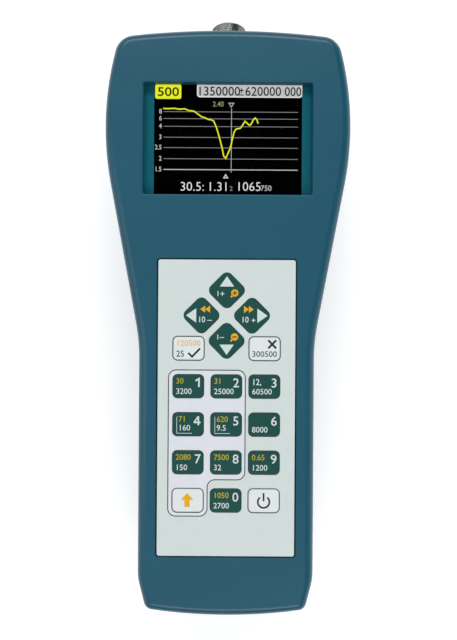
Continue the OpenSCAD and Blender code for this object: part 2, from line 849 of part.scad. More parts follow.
module connector_insulator() {
    press = 0.01;
    color("#f2f0e8") difference() {
        axial(insulator_r - press, inner_y - conn_flange_t, tip_y - mouth_l);
        axial(contact_r + press, inner_y - conn_flange_t - 1, tip_y - mouth_l + 1);
    }
}

module connector_contact() {
    recess = 1.2;
    color("#c9a24a") difference() {
        union() {
            axial(contact_r, contact_back, tip_y - recess);
            axial(tail_r, tail_end, contact_back + eps);
        }
        axial(contact_bore_r, tip_y - recess - 6, tip_y);
    }
}

module connector_washer() {
    color("#b0b0ac") difference() {
        axial(washer_r, seat_y, nut_y);
        axial(thread_r + thread_play, seat_y - 1, nut_y + 1);
    }
}

module connector_nut() {
    color("#b9b9b5") difference() {
        translate([0, nut_y, conn_z]) rotate([-90, 0, 0])
            cylinder(r = nut_af / sqrt(3), h = nut_t, $fn = 6);
        axial(barrel_r + thread_play, nut_y - 1, nut_y + nut_t + 1);
    }
}

// Battery

module battery_tray() {
    color("#1b1d20") difference() {
        bar(tray_w, tray_y, tray_y + tray_l, wall, tray_top);
        difference() {
            bar(tray_w - 2 * tray_wall, bay_y, bay_y + bay_l, wall - 1, tray_top - tray_wall);
            for (s = [-1, 1])
                translate([s * cell_pitch / 2, 0, 0])
                    bar(0.5, bay_y - 1, bay_y + bay_l + 1, cell_z + 2, tray_top);
        }
    }
}

// Neighbouring cells point opposite ways
function cell_flip(i) = i == 0 ? -1 : 1;

module cells() {
    color("#3a3f45") for (i = [-1 : 1])
        translate([i * cell_pitch, cell_y + (cell_l + cap_l) / 2, cell_z]) rotate([-90 * cell_flip(i), 0, 0])
            translate([0, 0, -(cell_l + cap_l) / 2]) {
                cylinder(r = cell_r, h = cell_l);
                translate([0, 0, cell_l - eps]) cylinder(r = cap_r, h = cap_l + eps);
            }
}

// One contact plate at an end of the bay, with its bulge towards the cell
module contact_plate(i, far_end) {
    push = far_end ? -1 : 1;
    face_y = far_end ? bay_y + bay_l : bay_y;
    translate([i * cell_pitch, face_y, cell_z]) rotate([-90 * push, 0, 0]) {
        translate([-cell_r + 1, -cell_r + 1, 0]) cube([2 * cell_r - 2, 2 * cell_r - 2, plate_t]);
        translate([0, 0, plate_t - eps]) cylinder(r1 = 4, r2 = 2, h = plate_bulge + eps);
    }
}

module contacts_plus() {
    color("#c8c8c4") for (i = [-1 : 1]) contact_plate(i, cell_flip(i) > 0);
}

module contacts_minus() {
    color("#c8c8c4") for (i = [-1 : 1]) contact_plate(i, cell_flip(i) < 0);
}

module battery_leads() {
    color("#b02a2a") for (s = [-1, 1])
        translate([s * lead_x, tray_y + tray_l - lead_inset, tray_top])
            cylinder(r = lead_r, h = board_z - tray_top);
}

front_shell();
rear_shell();
battery_door();
battery_tray();
cells();
contacts_plus();
contacts_minus();
battery_leads();
case_screws();
screen_window();
screen_border();
screen_panel();
screen_frame();
screen_ribbon();
keypad_overlay();
keypad_spacer();
keypad_circuit();
keypad_domes();
keypad_tail();
main_board();
board_chips();
board_screws();
buzzer();
usb_socket();
radio_board();
radio_screws();
shield_can();
board_link();
connector_body();
connector_insulator();
connector_contact();
connector_washer();
connector_nut();
for (k = keys) key(k);
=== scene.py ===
import math

import bmesh
import bpy
from mathutils import Matrix, Vector


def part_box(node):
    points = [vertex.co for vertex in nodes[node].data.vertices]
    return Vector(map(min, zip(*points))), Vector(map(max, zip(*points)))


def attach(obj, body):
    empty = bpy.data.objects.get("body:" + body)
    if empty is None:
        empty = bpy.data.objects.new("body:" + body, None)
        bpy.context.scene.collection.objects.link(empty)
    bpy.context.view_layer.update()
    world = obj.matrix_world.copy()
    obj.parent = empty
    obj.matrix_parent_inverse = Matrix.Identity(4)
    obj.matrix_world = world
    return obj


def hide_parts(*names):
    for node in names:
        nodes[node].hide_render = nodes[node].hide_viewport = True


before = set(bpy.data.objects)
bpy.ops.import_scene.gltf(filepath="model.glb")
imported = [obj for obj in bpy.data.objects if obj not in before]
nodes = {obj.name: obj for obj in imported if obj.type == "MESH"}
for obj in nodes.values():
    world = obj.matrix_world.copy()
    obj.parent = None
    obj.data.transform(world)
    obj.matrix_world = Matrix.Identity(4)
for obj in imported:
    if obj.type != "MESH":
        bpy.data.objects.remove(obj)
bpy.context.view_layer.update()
mm = 0.001


def linear(hexColour):
    # hex is what you see on screen, shader sockets want linear
    channels = [int(hexColour[i:i + 2], 16) / 255 for i in (1, 3, 5)]
    return [c / 12.92 if c <= 0.04045 else ((c + 0.055) / 1.055) ** 2.4 for c in channels] + [1.0]


def feed(node, links=None, inputs=None):
    # links: {my socket: another node's output, or the node for its first one}, inputs: {my socket: value}
    for key, value in (inputs or {}).items():
        node.inputs[key].default_value = value
    for key, source in (links or {}).items():
        output = source.outputs[0] if isinstance(source, bpy.types.Node) else source
        node.id_data.links.new(output, node.inputs[key])


def addNode(tree, kind, links=None, inputs=None, **settings):
    node = tree.nodes.new(kind)
    for key, value in settings.items():
        setattr(node, key, value)
    feed(node, links, inputs)
    return node


def newMaterial(name):
    mat = bpy.data.materials.new(name)
    mat.use_nodes = True
    tree = mat.node_tree
    shader = next(n for n in tree.nodes if n.type == "BSDF_PRINCIPLED")
    place = addNode(tree, "ShaderNodeTexCoord")
    return mat, tree, shader, place.outputs["Object"]


def fillMesh(name, verts, faces, mat=None, smooth=True):
    # verts come in millimetres
    mesh = bpy.data.meshes.new(name)
    mesh.from_pydata([[c * mm for c in v] for v in verts], [], faces)
    mesh.polygons.foreach_set("use_smooth", [smooth] * len(mesh.polygons))
    obj = bpy.data.objects.new(name, mesh)
    bpy.context.scene.collection.objects.link(obj)
    if mat:
        mesh.materials.append(mat)
    return obj


def bake(obj, sharpAngle=None):
    # turns the live modifiers into a plain mesh
    graph = bpy.context.evaluated_depsgraph_get()
    mesh = bpy.data.meshes.new_from_object(obj.evaluated_get(graph))
    obj.modifiers.clear()
    old = obj.data
    obj.data = mesh
    bpy.data.meshes.remove(old)
    mesh.name = obj.name
    if sharpAngle is not None:
        mesh.polygons.foreach_set("use_smooth", [True] * len(mesh.polygons))
        mesh.set_sharp_from_angle(angle=math.radians(sharpAngle))
    return obj


def loftRings(rings, closed=True):
    # rings: lists of the same length, bottom to top, each counter-clockwise seen from +Z
    count = len(rings[0])
    verts = [p for ring in rings for p in ring]
    faces = []
    for r in range(len(rings) - 1):
        for i in range(count):
            a, b = r * count + i, r * count + (i + 1) % count
            faces.append((a, b, b + count, a + count))
    if closed:
        faces.append(tuple(reversed(range(count))))
        faces.append(tuple(range((len(rings) - 1) * count, len(rings) * count)))
    return verts, faces


def combine(obj, how, others):
    for other in others:
        mod = obj.modifiers.new(how, "BOOLEAN")
        mod.operation, mod.solver, mod.object = how, "EXACT", other
    bake(obj)
    for other in others:
        bpy.data.objects.remove(other)


def cut(obj, *cutters):
    combine(obj, "DIFFERENCE", cutters)


def join(obj, *others):
    combine(obj, "UNION", others)


def softEdges(obj, angle=32):
    # flat faces stay flat next to rounded edges
    bake(obj, sharpAngle=angle)
    mod = obj.modifiers.new("even normals", "WEIGHTED_NORMAL")
    mod.weight = 60
    mod.keep_sharp = True


# the case's outline, its widths and the bends between them
case = {
    "length": 256, "head": 108, "grip": 77.4, "depth": 50, "rearHeight": 34, "wall": 3,
    "frontRound": 4.5, "frontInset": 0.4, "backRound": 8, "seam": 0.5, "lipRound": 0.35,
    "topWidth": 97, "topRound": 9.5, "topBow": 3.1, "headDrop": 39.5, "headRound": 134,
    "neckUp": 119.8, "neckRound": 84, "footUp": 16.2, "footBend": 25, "footWidth": 70.4,
    "footRound": 4.5, "footBow": 2.6, "connectorOut": 11.3,
}
yTop = (case["length"] - case["connectorOut"]) / 2
yBot = -(case["length"] + case["connectorOut"]) / 2


def flankTurn(x):
    lower = math.atan2(x - case["grip"] / 2, case["length"] - case["neckUp"] - case["headDrop"])
    upper = math.atan2(x - case["topWidth"] / 2, case["headDrop"] - case["topBow"])
    return lower + upper


# the widest point is rounded off, so its corner is set out until the round measures the head's width
headBulge = 2.0
for _ in range(6):
    headBulge = case["headRound"] * (1 / math.cos(flankTurn(case["head"] / 2 + headBulge) / 2) - 1)

# corners up the right side: x, y, radius, steps; both ends bow out along a parabola
bow = [0.125 * i for i in range(1, 7)]
rightSide = [(f * case["footWidth"] / 2, yBot + case["footBow"] * f * f, 0, 0) for f in bow]
rightSide += [
    (case["footWidth"] / 2, yBot + case["footBow"], case["footRound"], 10),
    (case["grip"] / 2, yBot + case["footUp"], case["footBend"], 6),
    (case["grip"] / 2, yBot + case["neckUp"], case["neckRound"], 14),
    (case["head"] / 2 + headBulge, yTop - case["headDrop"], case["headRound"], 20),
    (case["topWidth"] / 2, yTop - case["topBow"], case["topRound"], 16),
]
rightSide += [(f * case["topWidth"] / 2, yTop - case["topBow"] * f * f, 0, 0) for f in reversed(bow)]
corners = [(0, yBot, 0, 0)] + rightSide + [(0, yTop, 0, 0)]
corners += [(-c[0], c[1], c[2], c[3]) for c in reversed(rightSide)]


def outline(inset, z):
    ring = []
    for i, (x, y, radius, steps) in enumerate(corners):
        before, after = corners[i - 1], corners[(i + 1) % len(corners)]
        u = Vector((x - before[0], y - before[1])).normalized()
        v = Vector((after[0] - x, after[1] - y)).normalized()
        nu, nv = Vector((-u.y, u.x)), Vector((-v.y, v.x))
        mid = Vector((x, y)) + inset * (nu + nv) / (1 + nu.dot(nv))
        if not steps:
            ring.append((mid.x, mid.y, z))
            continue
        turn = math.asin(u.x * v.y - u.y * v.x)
        side = 1 if turn > 0 else -1
        r = max(radius - inset, 0.5) if side > 0 else radius + inset
        centre = mid - u * r * math.tan(abs(turn) / 2) + nu * r * side
        for j in range(steps + 1):
            a = turn * j / steps
            n = Vector((nu.x * math.cos(a) - nu.y * math.sin(a),
                        nu.x * math.sin(a) + nu.y * math.cos(a)))
            p = centre - side * r * n
            ring.append((p.x, p.y, z))
    return ring


def roundedRect(cx, cy, w, h, r, z, steps=6):
    ring = []
    for k, (sx, sy) in enumerate(((1, -1), (1, 1), (-1, 1), (-1, -1))):
        for j in range(steps + 1):
            a = math.radians(-90 + 90 * k + 90 * j / steps)
            ring.append((cx + sx * (w / 2 - r) + r * math.cos(a),
                         cy + sy * (h / 2 - r) + r * math.sin(a), z))
    return ring


def roundRing(x, y, r, z, steps=40):
    return [(x + r * math.cos(2 * math.pi * i / steps), y + r * math.sin(2 * math.pi * i / steps), z)
            for i in range(steps)]


def arc(start, stop, steps):
    return [math.radians(start + (stop - start) * i / steps) for i in range(steps + 1)]


def quarter(r, steps):
    # a quarter round from its foot to its crown: how far in, and how far below the crown
    return [(r * (1 - math.cos(a)), r * (1 - math.sin(a))) for a in arc(0, 90, steps)]


def flaredCutter(cx, cy, w, h, r, bottom, top, flare, name):
    # a pocket whose mouth is rounded over by flare; top is the surface it opens in
    levels = [(0, bottom)] + [(out, top - low) for out, low in quarter(flare, 5)] + [(flare * 1.02, top + 1)]
    rings = [roundedRect(cx, cy, w + 2 * out, h + 2 * out, r + out, z) for out, z in levels]
    return fillMesh(name, *loftRings(rings))


print("outline ready, head bulge %.3f" % headBulge)

# a noise scale is 1 over a size in metres, so 2600 is grain of about 0.4 mm and 45 is blotches of 22 mm

# moulded ABS in teal blue, with the fine grain that the mould leaves
tealAbs, tree, shader, place = newMaterial("abs_teal")
patch = addNode(tree, "ShaderNodeTexNoise", {"Vector": place}, {"Scale": 45, "Detail": 3})
shade = addNode(tree, "ShaderNodeMix", {"Factor": patch},
                {6: linear("#0b4d62"), 7: linear("#135369")}, data_type="RGBA")
grain = addNode(tree, "ShaderNodeTexNoise", {"Vector": place}, {"Scale": 2600, "Detail": 2})
bumps = addNode(tree, "ShaderNodeBump", {"Height": grain}, {"Strength": 0.12, "Distance": 0.0002})
gloss = addNode(tree, "ShaderNodeMapRange", {"Value": patch}, {"To Min": 0.27, "To Max": 0.35})
feed(shader, {"Base Color": shade.outputs[2], "Roughness": gloss, "Normal": bumps},
     {"Specular IOR Level": 0.3})


def plainPlastic(name, hexColour, roughness, grainScale=2200, strength=0.08, sheen=0.3, cloud=0.04):
    # colour and gloss drift a little over a few millimetres, never as flat as a swatch
    mat, tree, shader, place = newMaterial(name)
    drift = addNode(tree, "ShaderNodeTexNoise", {"Vector": place}, {"Scale": 160, "Detail": 3})
    deep, light = ([min(c * (1 + way * cloud), 1) for c in linear(hexColour)[:3]] + [1.0] for way in (-1, 1))
    shade = addNode(tree, "ShaderNodeMix", {"Factor": drift}, {6: deep, 7: light}, data_type="RGBA")
    gloss = addNode(tree, "ShaderNodeMapRange", {"Value": drift},
                    {"To Min": roughness - 0.03, "To Max": roughness + 0.03})
    grain = addNode(tree, "ShaderNodeTexNoise", {"Vector": place}, {"Scale": grainScale, "Detail": 2})
    bumps = addNode(tree, "ShaderNodeBump", {"Height": grain}, {"Strength": strength, "Distance": 0.0002})
    feed(shader, {"Base Color": shade.outputs[2], "Roughness": gloss, "Normal": bumps},
         {"Specular IOR Level": sheen})
    return mat


def plainMetal(name, hexColour, low, high, scale=300):
    # the roughness wanders a little, as plating and handling make it do
    mat, tree, shader, place = newMaterial(name)
    smear = addNode(tree, "ShaderNodeTexNoise", {"Vector": place}, {"Scale": scale, "Detail": 4})
    gloss = addNode(tree, "ShaderNodeMapRange", {"Value": smear}, {"To Min": low, "To Max": high})
    feed(shader, {"Roughness": gloss}, {"Base Color": linear(hexColour), "Metallic": 1.0})
    return mat


# printed polyester film of the keypad, matt on top
paleFilm = plainPlastic("polyester_film_pale", "#d3dedc", 0.42, 3200, 0.05)
greenFilm = plainPlastic("polyester_film_green", "#154843", 0.4, 3200, 0.05, 0.2)
whiteFilm = plainPlastic("polyester_film_white", "#e2e8ea", 0.42, 3200, 0.05)
# inks screened onto the film
whiteInk = plainPlastic("ink_white", "#d2dede", 0.5, 4000, 0.03)
yellowInk = plainPlastic("ink_yellow", "#b5a716", 0.5, 4000, 0.03)
orangeInk = plainPlastic("ink_orange", "#e9ac10", 0.5, 4000, 0.03)
darkInk = plainPlastic("ink_dark_green", "#1f3a37", 0.5, 4000, 0.03, 0.1)
lilacInk = plainPlastic("ink_lilac", "#dfe2ea", 0.45, 4000, 0.03)
# back-painted border of the window, under its gloss
tealPaint = plainPlastic("paint_teal_gloss", "#1a6676", 0.3, 900, 0.02, 0.0)
# black liquid crystal glass when it is dark
darkGlass = plainPlastic("lcd_glass_black", "#010102", 0.5, 500, 0.01, 0.0)
# moulded, turned and sheet plastics inside, dull and evenly grained
blackPlastic = plainPlastic("abs_black", "#17191b", 0.5)
whitePlastic = plainPlastic("ptfe_white", "#efeee8", 0.45)
spacerSheet = plainPlastic("polyester_sheet_milky", "#e4e4de", 0.55)
redPvc = plainPlastic("pvc_red_wire", "#a82626", 0.45)
chipEpoxy = plainPlastic("epoxy_black_chip", "#202226", 0.6, 1500, 0.15)
amberFilm = plainPlastic("polyimide_amber", "#b0782a", 0.35)
# shrink sleeve on the cells
cellWrap = plainPlastic("pvc_shrink_sleeve_grey", "#3d4a5a", 0.32, 700, 0.1)
# plated metals, bright with faint smears
nickel = plainMetal("nickel_plated_brass", "#b2b2b1", 0.18, 0.28, 500)
steel = plainMetal("zinc_plated_steel", "#b4b7ba", 0.28, 0.42)
tin = plainMetal("tinned_steel", "#c6c8c8", 0.3, 0.45)
gold = plainMetal("gold_plated_contact", "#d9b260", 0.18, 0.3)

# green solder mask: tracks show as slightly raised, lighter lines
board, tree, shader, place = newMaterial("fr4_solder_mask_green")
cells = addNode(tree, "ShaderNodeTexVoronoi", {"Vector": place}, {"Scale": 420}, distance="MANHATTAN",
                feature="DISTANCE_TO_EDGE")
edge = addNode(tree, "ShaderNodeMapRange", {"Value": cells}, {"From Max": 0.08})
shade = addNode(tree, "ShaderNodeMix", {"Factor": edge},
                {6: linear("#2f7a52"), 7: linear("#1c5438")}, data_type="RGBA")
bumps = addNode(tree, "ShaderNodeBump", {"Height": edge},
                {"Strength": 0.2, "Distance": 0.0001}, invert=True)
feed(shader, {"Base Color": shade.outputs[2], "Normal": bumps}, {"Roughness": 0.35})

# clear polycarbonate window: nearly all goes through, more glint at a slant
clearPane, tree, shader, place = newMaterial("polycarbonate_clear")
slant = addNode(tree, "ShaderNodeLayerWeight", None, {"Blend": 0.5})
glint = addNode(tree, "ShaderNodeMath", {0: slant.outputs["Facing"]}, {1: 4.0}, operation="POWER")
cover = addNode(tree, "ShaderNodeMapRange", {"Value": glint}, {"To Min": 0.004, "To Max": 0.9})
waves = addNode(tree, "ShaderNodeTexNoise", {"Vector": place}, {"Scale": 30, "Detail": 1})
gloss = addNode(tree, "ShaderNodeMapRange", {"Value": waves}, {"To Min": 0.1, "To Max": 0.14})
feed(shader, {"Alpha": cover, "Roughness": gloss}, {"Base Color": linear("#0a0c0c")})


def glowing(name, hexColour):
    # lit pixels of the screen; the pixel rows only show close up
    mat, tree, shader, place = newMaterial(name)
    rows = addNode(tree, "ShaderNodeTexWave", {"Vector": place}, {"Scale": 1100, "Distortion": 0.0},
                   bands_direction="Y")
    level = addNode(tree, "ShaderNodeMapRange", {"Value": rows.outputs["Fac"]},
                    {"To Min": 0.9, "To Max": 1.0})
    feed(shader, {"Emission Strength": level},
         {"Base Color": linear("#000000"), "Roughness": 0.3, "Specular IOR Level": 0.02,
          "Emission Color": linear(hexColour)})
    return mat


glowWhite = glowing("lcd_pixels_white", "#e9ecea")
glowGrey = glowing("lcd_pixels_grey", "#8c8f8f")
glowSilver = glowing("lcd_pixels_silver", "#c4c6c5")
glowYellow = glowing("lcd_pixels_yellow", "#e9ee2c")
dimYellow = glowing("lcd_pixels_dim_yellow", "#8f9160")
offPixels = plainPlastic("lcd_pixels_off", "#15160f", 0.3, 500, 0.01, 0.0)
print("materials ready: %d" % len(bpy.data.materials))


def turned(profile):
    return [outline(inset, z) for inset, z in profile]


def post(x, y, r, z0, z1, steps=40):
    return fillMesh("post", *loftRings([roundRing(x, y, r, z, steps) for z in (z0, z1)]))


def block(w, y0, y1, z0, z1):
    return fillMesh("block", *loftRings([[(-w / 2, y0, z), (w / 2, y0, z), (w / 2, y1, z), (-w / 2, y1, z)]
                                         for z in (z0, z1)]))


depth, rearHeight, wall = case["depth"], case["rearHeight"], case["wall"]
frontRound, backRound, seam, lipRound = case["frontRound"], case["backRound"], case["seam"], case["lipRound"]
cavityTop = depth - wall

# drop: from the top end down to the opening; flare: how far the rim is rounded over
screen = {"width": 73, "height": 48.2, "corner": 0.8, "drop": 24.3, "flare": 0.85}
# share: how much of the bare length stands below the keypad; trim: the dark gap around its sheet
pad = {"width": 59.7, "height": 128.3, "corner": 1.2, "gap": 0.35, "top": 49.8, "thick": 0.9, "floor": 47.4,
       "share": 0.3409, "flare": 0.45, "under": 45.8, "rim": 3.7, "trim": 0.2, "edge": 0.2}
screw = {"headX": 44.5, "headDrop": 20, "gripX": 28.7, "gripUp": 80, "frontPost": 3.7, "rearPost": 4.5,
         "seat": 24, "well": 3.1, "bore": 1.65}
port = {"width": 9.0, "height": 4.3, "corner": 1.0, "z": 39.85, "deep": 5}
bare = case["length"] - screen["height"] - pad["height"]
screenY = yTop - screen["drop"] - screen["height"] / 2
padY = yBot + bare * pad["share"] + pad["height"] / 2
screws = [(side * x, y) for x, y in ((screw["headX"], yTop - screw["headDrop"]),
                                     (screw["gripX"], yBot + screw["gripUp"])) for side in (-1, 1)]

# front shell: inset and height up its outside, from the seam over the lip to the front rounding
frontProfile = [(seam, rearHeight), (seam, rearHeight + seam)]
frontProfile += [(low, rearHeight + seam + out) for out, low in quarter(lipRound, 3)]
frontProfile += [(case["frontInset"] + out, depth - low) for out, low in quarter(frontRound, 12)]
frontShell = fillMesh("shellFront", *loftRings(turned(frontProfile)), tealAbs)
hollow = [(wall, rearHeight - 1), (wall, 43), (wall + 1.2, 46), (wall + 2.6, cavityTop)]
cut(frontShell, fillMesh("hollow", *loftRings(turned(hollow))))
padFloor = [roundedRect(0, padY, pad["width"] + pad["rim"], pad["height"] + pad["rim"], pad["corner"], z)
            for z in (pad["under"], cavityTop + 0.2)]
join(frontShell, fillMesh("padFloor", *loftRings(padFloor)),
     *[post(x, y, screw["frontPost"], rearHeight, cavityTop + 0.2) for x, y in screws])
portRings = []
for depthIn, out in ((-1, 1.4), (-0.05, 0.4), (0.1, 0.12), (0.35, 0), (port["deep"], 0)):
    ring = roundedRect(0, 0, port["width"] + 2 * out, port["height"] + 2 * out, port["corner"] + out, 0)
    portRings.append([(-px, yBot + depthIn, port["z"] + py) for px, py, _ in ring])
cut(frontShell,
    flaredCutter(0, screenY, screen["width"], screen["height"], screen["corner"], cavityTop - 3, depth,
                 screen["flare"], "screenCut"),
    flaredCutter(0, padY, pad["width"] + 2 * pad["gap"], pad["height"] + 2 * pad["gap"],
                 pad["corner"] + pad["gap"], pad["floor"], depth, pad["flare"], "padCut"),
    fillMesh("portCut", *loftRings(portRings)))
softEdges(frontShell)
print("front shell: %d faces" % len(frontShell.data.polygons))

# rear shell: its outside from the flat back up to the seam
backProfile = [(low, out) for out, low in quarter(backRound, 14)]
backProfile += [(out, rearHeight - low) for out, low in quarter(lipRound, 3)]
door = {"width": 50, "length": 72, "thick": 2.1, "tongue": 1.2, "tongueThick": 1, "play": 0.2,
        "grooves": 6, "groovePitch": 2.4, "grooveRound": 0.9, "grooveLong": 22, "bevel": 0.22}
doorEnd = yBot + door["length"]
# radii, except for what is deep, thick, across flats or clear of the case
connector = {"z": 24, "thread": 7.94, "ridge": 0.6, "perInch": 24, "barrel": 7.64, "flange": 9.6,
             "mouth": 4.25, "mouthDeep": 9, "bevel": 0.6, "insulator": 3.5, "contact": 1.5,
             "contactBore": 0.85, "slot": 0.32, "washer": 9.2, "washerThick": 0.8, "nutFlats": 19,
             "nutThick": 2.6, "clear": 0.2}
innerY = yTop - wall
tipY = yTop + case["connectorOut"]
nutY = yTop + connector["clear"]
seatY = nutY - connector["washerThick"]


def axialRing(r, y, steps=96, limit=None):
    # a ring about the connector's axis, counter-clockwise seen from the tip
    ring = []
    for i in range(steps):
        a = 2 * math.pi * i / steps
        size = limit(a, r) if limit else r
        ring.append((-size * math.cos(a), y, connector["z"] + size * math.sin(a)))
    return ring


def axialSolid(name, profile, mat=None, steps=96, wrap=True, limit=None):
    # profile: radius, y; runs round the section so that its inside is on the left, seen with +Y up
    rings = [axialRing(r, y, steps, limit) for r, y in profile]
    if wrap:
        rings.append(rings[0])
        verts, faces = loftRings(rings, closed=False)
        keep = len(verts) - steps
        faces = [tuple(v if v < keep else v - keep for v in f) for f in faces]
        return fillMesh(name, verts[:keep], faces, mat)
    return fillMesh(name, *loftRings(rings), mat)


rearShell = fillMesh("shellRear", *loftRings(turned(backProfile)), tealAbs)
hollow = [(wall + low, wall + out) for out, low in quarter(backRound - wall, 6)] + [(wall, rearHeight + 1)]
cut(rearShell, fillMesh("hollow", *loftRings(turned(hollow))))
join(rearShell, *[post(x, y, screw["rearPost"], wall / 2, rearHeight) for x, y in screws])
label = {"width": 58, "height": 38, "drop": 68, "corner": 2, "sink": 0.4, "flare": 0.15}


def upsideCutter(cx, cy, w, h, r, top, flare, name):
    # like flaredCutter, but opening downwards in the back face z = 0
    levels = [(flare * 1.02, -1)] + [(low, out) for out, low in quarter(flare, 5)] + [(0, top)]
    rings = [roundedRect(cx, cy, w + 2 * out, h + 2 * out, r + out, z) for out, z in levels]
    return fillMesh(name, *loftRings(rings))


cutters = []
for x, y in screws:
    # a well for the head with a rounded rim, then the hole for the shank
    well = [(1.2, -1), (0.45, -0.001), (0.2, 0.08), (0.05, 0.25), (0, 0.45), (0, screw["seat"])]
    wellRings = [roundRing(x, y, screw["well"] + out, z) for out, z in well]
    cutters.append(fillMesh("headHole", *loftRings(wellRings)))
    cutters.append(post(x, y, screw["bore"], 20, rearHeight + 1, 24))
slotEnd, slotTop = doorEnd + door["play"], door["thick"] + door["play"]
cutters.append(block(door["width"] + 2 * door["play"], yBot - 5, slotEnd, -1, slotTop))
cutters.append(block(door["width"] + 2 * (door["tongue"] + door["play"]), yBot - 5, slotEnd,
                     door["thick"] - door["tongueThick"] - door["play"], slotTop))
cutters.append(upsideCutter(0, yTop - label["drop"], label["width"], label["height"], label["corner"],
                            label["sink"], label["flare"], "labelCut"))
for name, r, y in (("shellHole", connector["thread"] + 0.06, innerY - 2),
                   ("washerSeat", connector["washer"] + 0.3, seatY)):
    cutters.append(axialSolid(name, [(r, y), (r, yTop + 2)], wrap=False, steps=64))
cut(rearShell, *cutters)
# the tray closes the bay from inside, resting on a ledge all round
low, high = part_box("battery_tray")
ledge = 1.2
bayWide = (high.x - low.x) / mm - 2 * ledge
cut(rearShell, block(bayWide, low.y / mm + ledge, high.y / mm - ledge, -1, wall + 1))
softEdges(rearShell)
print("rear shell: %d faces" % len(rearShell.data.polygons))


def nodeGroup(name, sockets):
    group = bpy.data.node_groups.new(name, "GeometryNodeTree")
    for label, kind in sockets:
        group.interface.new_socket(label, in_out="INPUT", socket_type="NodeSocket" + kind)
    group.interface.new_socket("Geometry", in_out="OUTPUT", socket_type="NodeSocketGeometry")
    return group, addNode(group, "NodeGroupInput").outputs


def closeGroup(group, geometry, mat):
    real = addNode(group, "GeometryNodeRealizeInstances", {"Geometry": geometry})
    painted = addNode(group, "GeometryNodeSetMaterial", {"Geometry": real, "Material": mat})
    addNode(group, "NodeGroupOutput", {"Geometry": painted})


def grow(name, group, values):
    # values go in by socket identifier before the group is first evaluated
    obj = fillMesh(name, [], [])
    mod = obj.modifiers.new(group.name, "NODES")
    mod.node_group = group
    for item in group.interface.items_tree:
        if item.item_type == "SOCKET" and item.in_out == "INPUT":
            mod[item.identifier] = values[item.name]
    return bake(obj)


# screw thread: a grid bent round the axis, whose radius follows a ridge that climbs one pitch a turn
threadGroup, given = nodeGroup("threadedBarrel", [
    ("Outer", "Float"), ("Ridge", "Float"), ("Pitch", "Float"), ("Start", "Float"), ("Length", "Float"),
    ("Height", "Float"), ("Around", "Int"), ("Along", "Int"), ("Material", "Material")])
sheet = addNode(threadGroup, "GeometryNodeMeshGrid",
                {"Vertices X": given["Around"], "Vertices Y": given["Along"]}, {"Size X": 1.0, "Size Y": 1.0})
position = addNode(threadGroup, "GeometryNodeInputPosition")
at = addNode(threadGroup, "ShaderNodeSeparateXYZ", {"Vector": position})
now = {"x": at.outputs["X"], "y": at.outputs["Y"]}
now.update((name, given[name]) for name in ("Outer", "Ridge", "Pitch", "Start", "Length", "Height"))
# what comes out, how, and from what; a pair of numbers stretches the first value over 0 to 1 and clips it.
# vee is the ridge with a flat crest and root, and both fades let it die out so that the ends stay round
sums = (("u", "ADD", "x", 0.5), ("v", "ADD", "y", 0.5), ("along", "MULTIPLY", "v", "Length"),
        ("turns", "DIVIDE", "along", "Pitch"), ("phase", "SUBTRACT", "turns", "u"),
        ("zigzag", "PINGPONG", "phase", 0.5), ("vee", "STRETCH", "zigzag", (0.06, 0.44)),
        ("inFade", "STRETCH", "turns", (0, 0.6)), ("left", "SUBTRACT", "Length", "along"),
        ("leftTurns", "DIVIDE", "left", "Pitch"), ("outFade", "STRETCH", "leftTurns", (0, 0.3)),
        ("fade", "MULTIPLY", "inFade", "outFade"), ("bite", "MULTIPLY", "vee", "fade"),
        ("sunk", "MULTIPLY", "bite", "Ridge"), ("radius", "SUBTRACT", "Outer", "sunk"),
        ("angle", "MULTIPLY", "u", 2 * math.pi), ("cosine", "COSINE", "angle", 0),
        ("sine", "SINE", "angle", 0),
        ("across", "MULTIPLY", "cosine", "radius"), ("rise", "MULTIPLY", "sine", "radius"),
        ("back", "MULTIPLY", "across", -1), ("up", "ADD", "rise", "Height"), ("out", "ADD", "along", "Start"))
for name, how, first, second in sums:
    if how == "STRETCH":
        now[name] = addNode(threadGroup, "ShaderNodeMapRange", {"Value": now[first]},
                            {"From Min": second[0], "From Max": second[1]})
    else:
        linked = {0: now[first], 1: now[second]} if second in now else {0: now[first]}
        now[name] = addNode(threadGroup, "ShaderNodeMath", linked, {} if second in now else {1: second},
                            operation=how)
spot = addNode(threadGroup, "ShaderNodeCombineXYZ", {"X": now["back"], "Y": now["out"], "Z": now["up"]})
bent = addNode(threadGroup, "GeometryNodeSetPosition", {"Geometry": sheet, "Position": spot})
welded = addNode(threadGroup, "GeometryNodeMergeByDistance", {"Geometry": bent}, {"Distance": 0.000002})
closeGroup(threadGroup, welded, given["Material"])

# a row of thumb grooves: round bars in a line
grooveGroup, given = nodeGroup("thumbGrooves", [
    ("Count", "Int"), ("Start", "Vector"), ("Step", "Vector"), ("Radius", "Float"), ("Length", "Float"),
    ("Material", "Material")])
row = addNode(grooveGroup, "GeometryNodeMeshLine", {"Count": given["Count"], "Start Location": given["Start"],
                                                    "Offset": given["Step"]})
bar = addNode(grooveGroup, "GeometryNodeMeshCylinder", {"Radius": given["Radius"], "Depth": given["Length"]},
              {"Vertices": 32})
lying = addNode(grooveGroup, "GeometryNodeTransform", {"Geometry": bar}, {"Rotation": (0, math.pi / 2, 0)})
bars = addNode(grooveGroup, "GeometryNodeInstanceOnPoints", {"Points": row, "Instance": lying})
closeGroup(grooveGroup, bars, given["Material"])

# one screw shape at each of four places
screwPlaces = ("First", "Second", "Third", "Fourth")
screwGroup, given = nodeGroup("fourScrews", [
    ("Screw", "Object"), *[(corner, "Vector") for corner in screwPlaces], ("Material", "Material")])
model = addNode(screwGroup, "GeometryNodeObjectInfo", {"Object": given["Screw"]})
everyScrew = addNode(screwGroup, "GeometryNodeJoinGeometry")
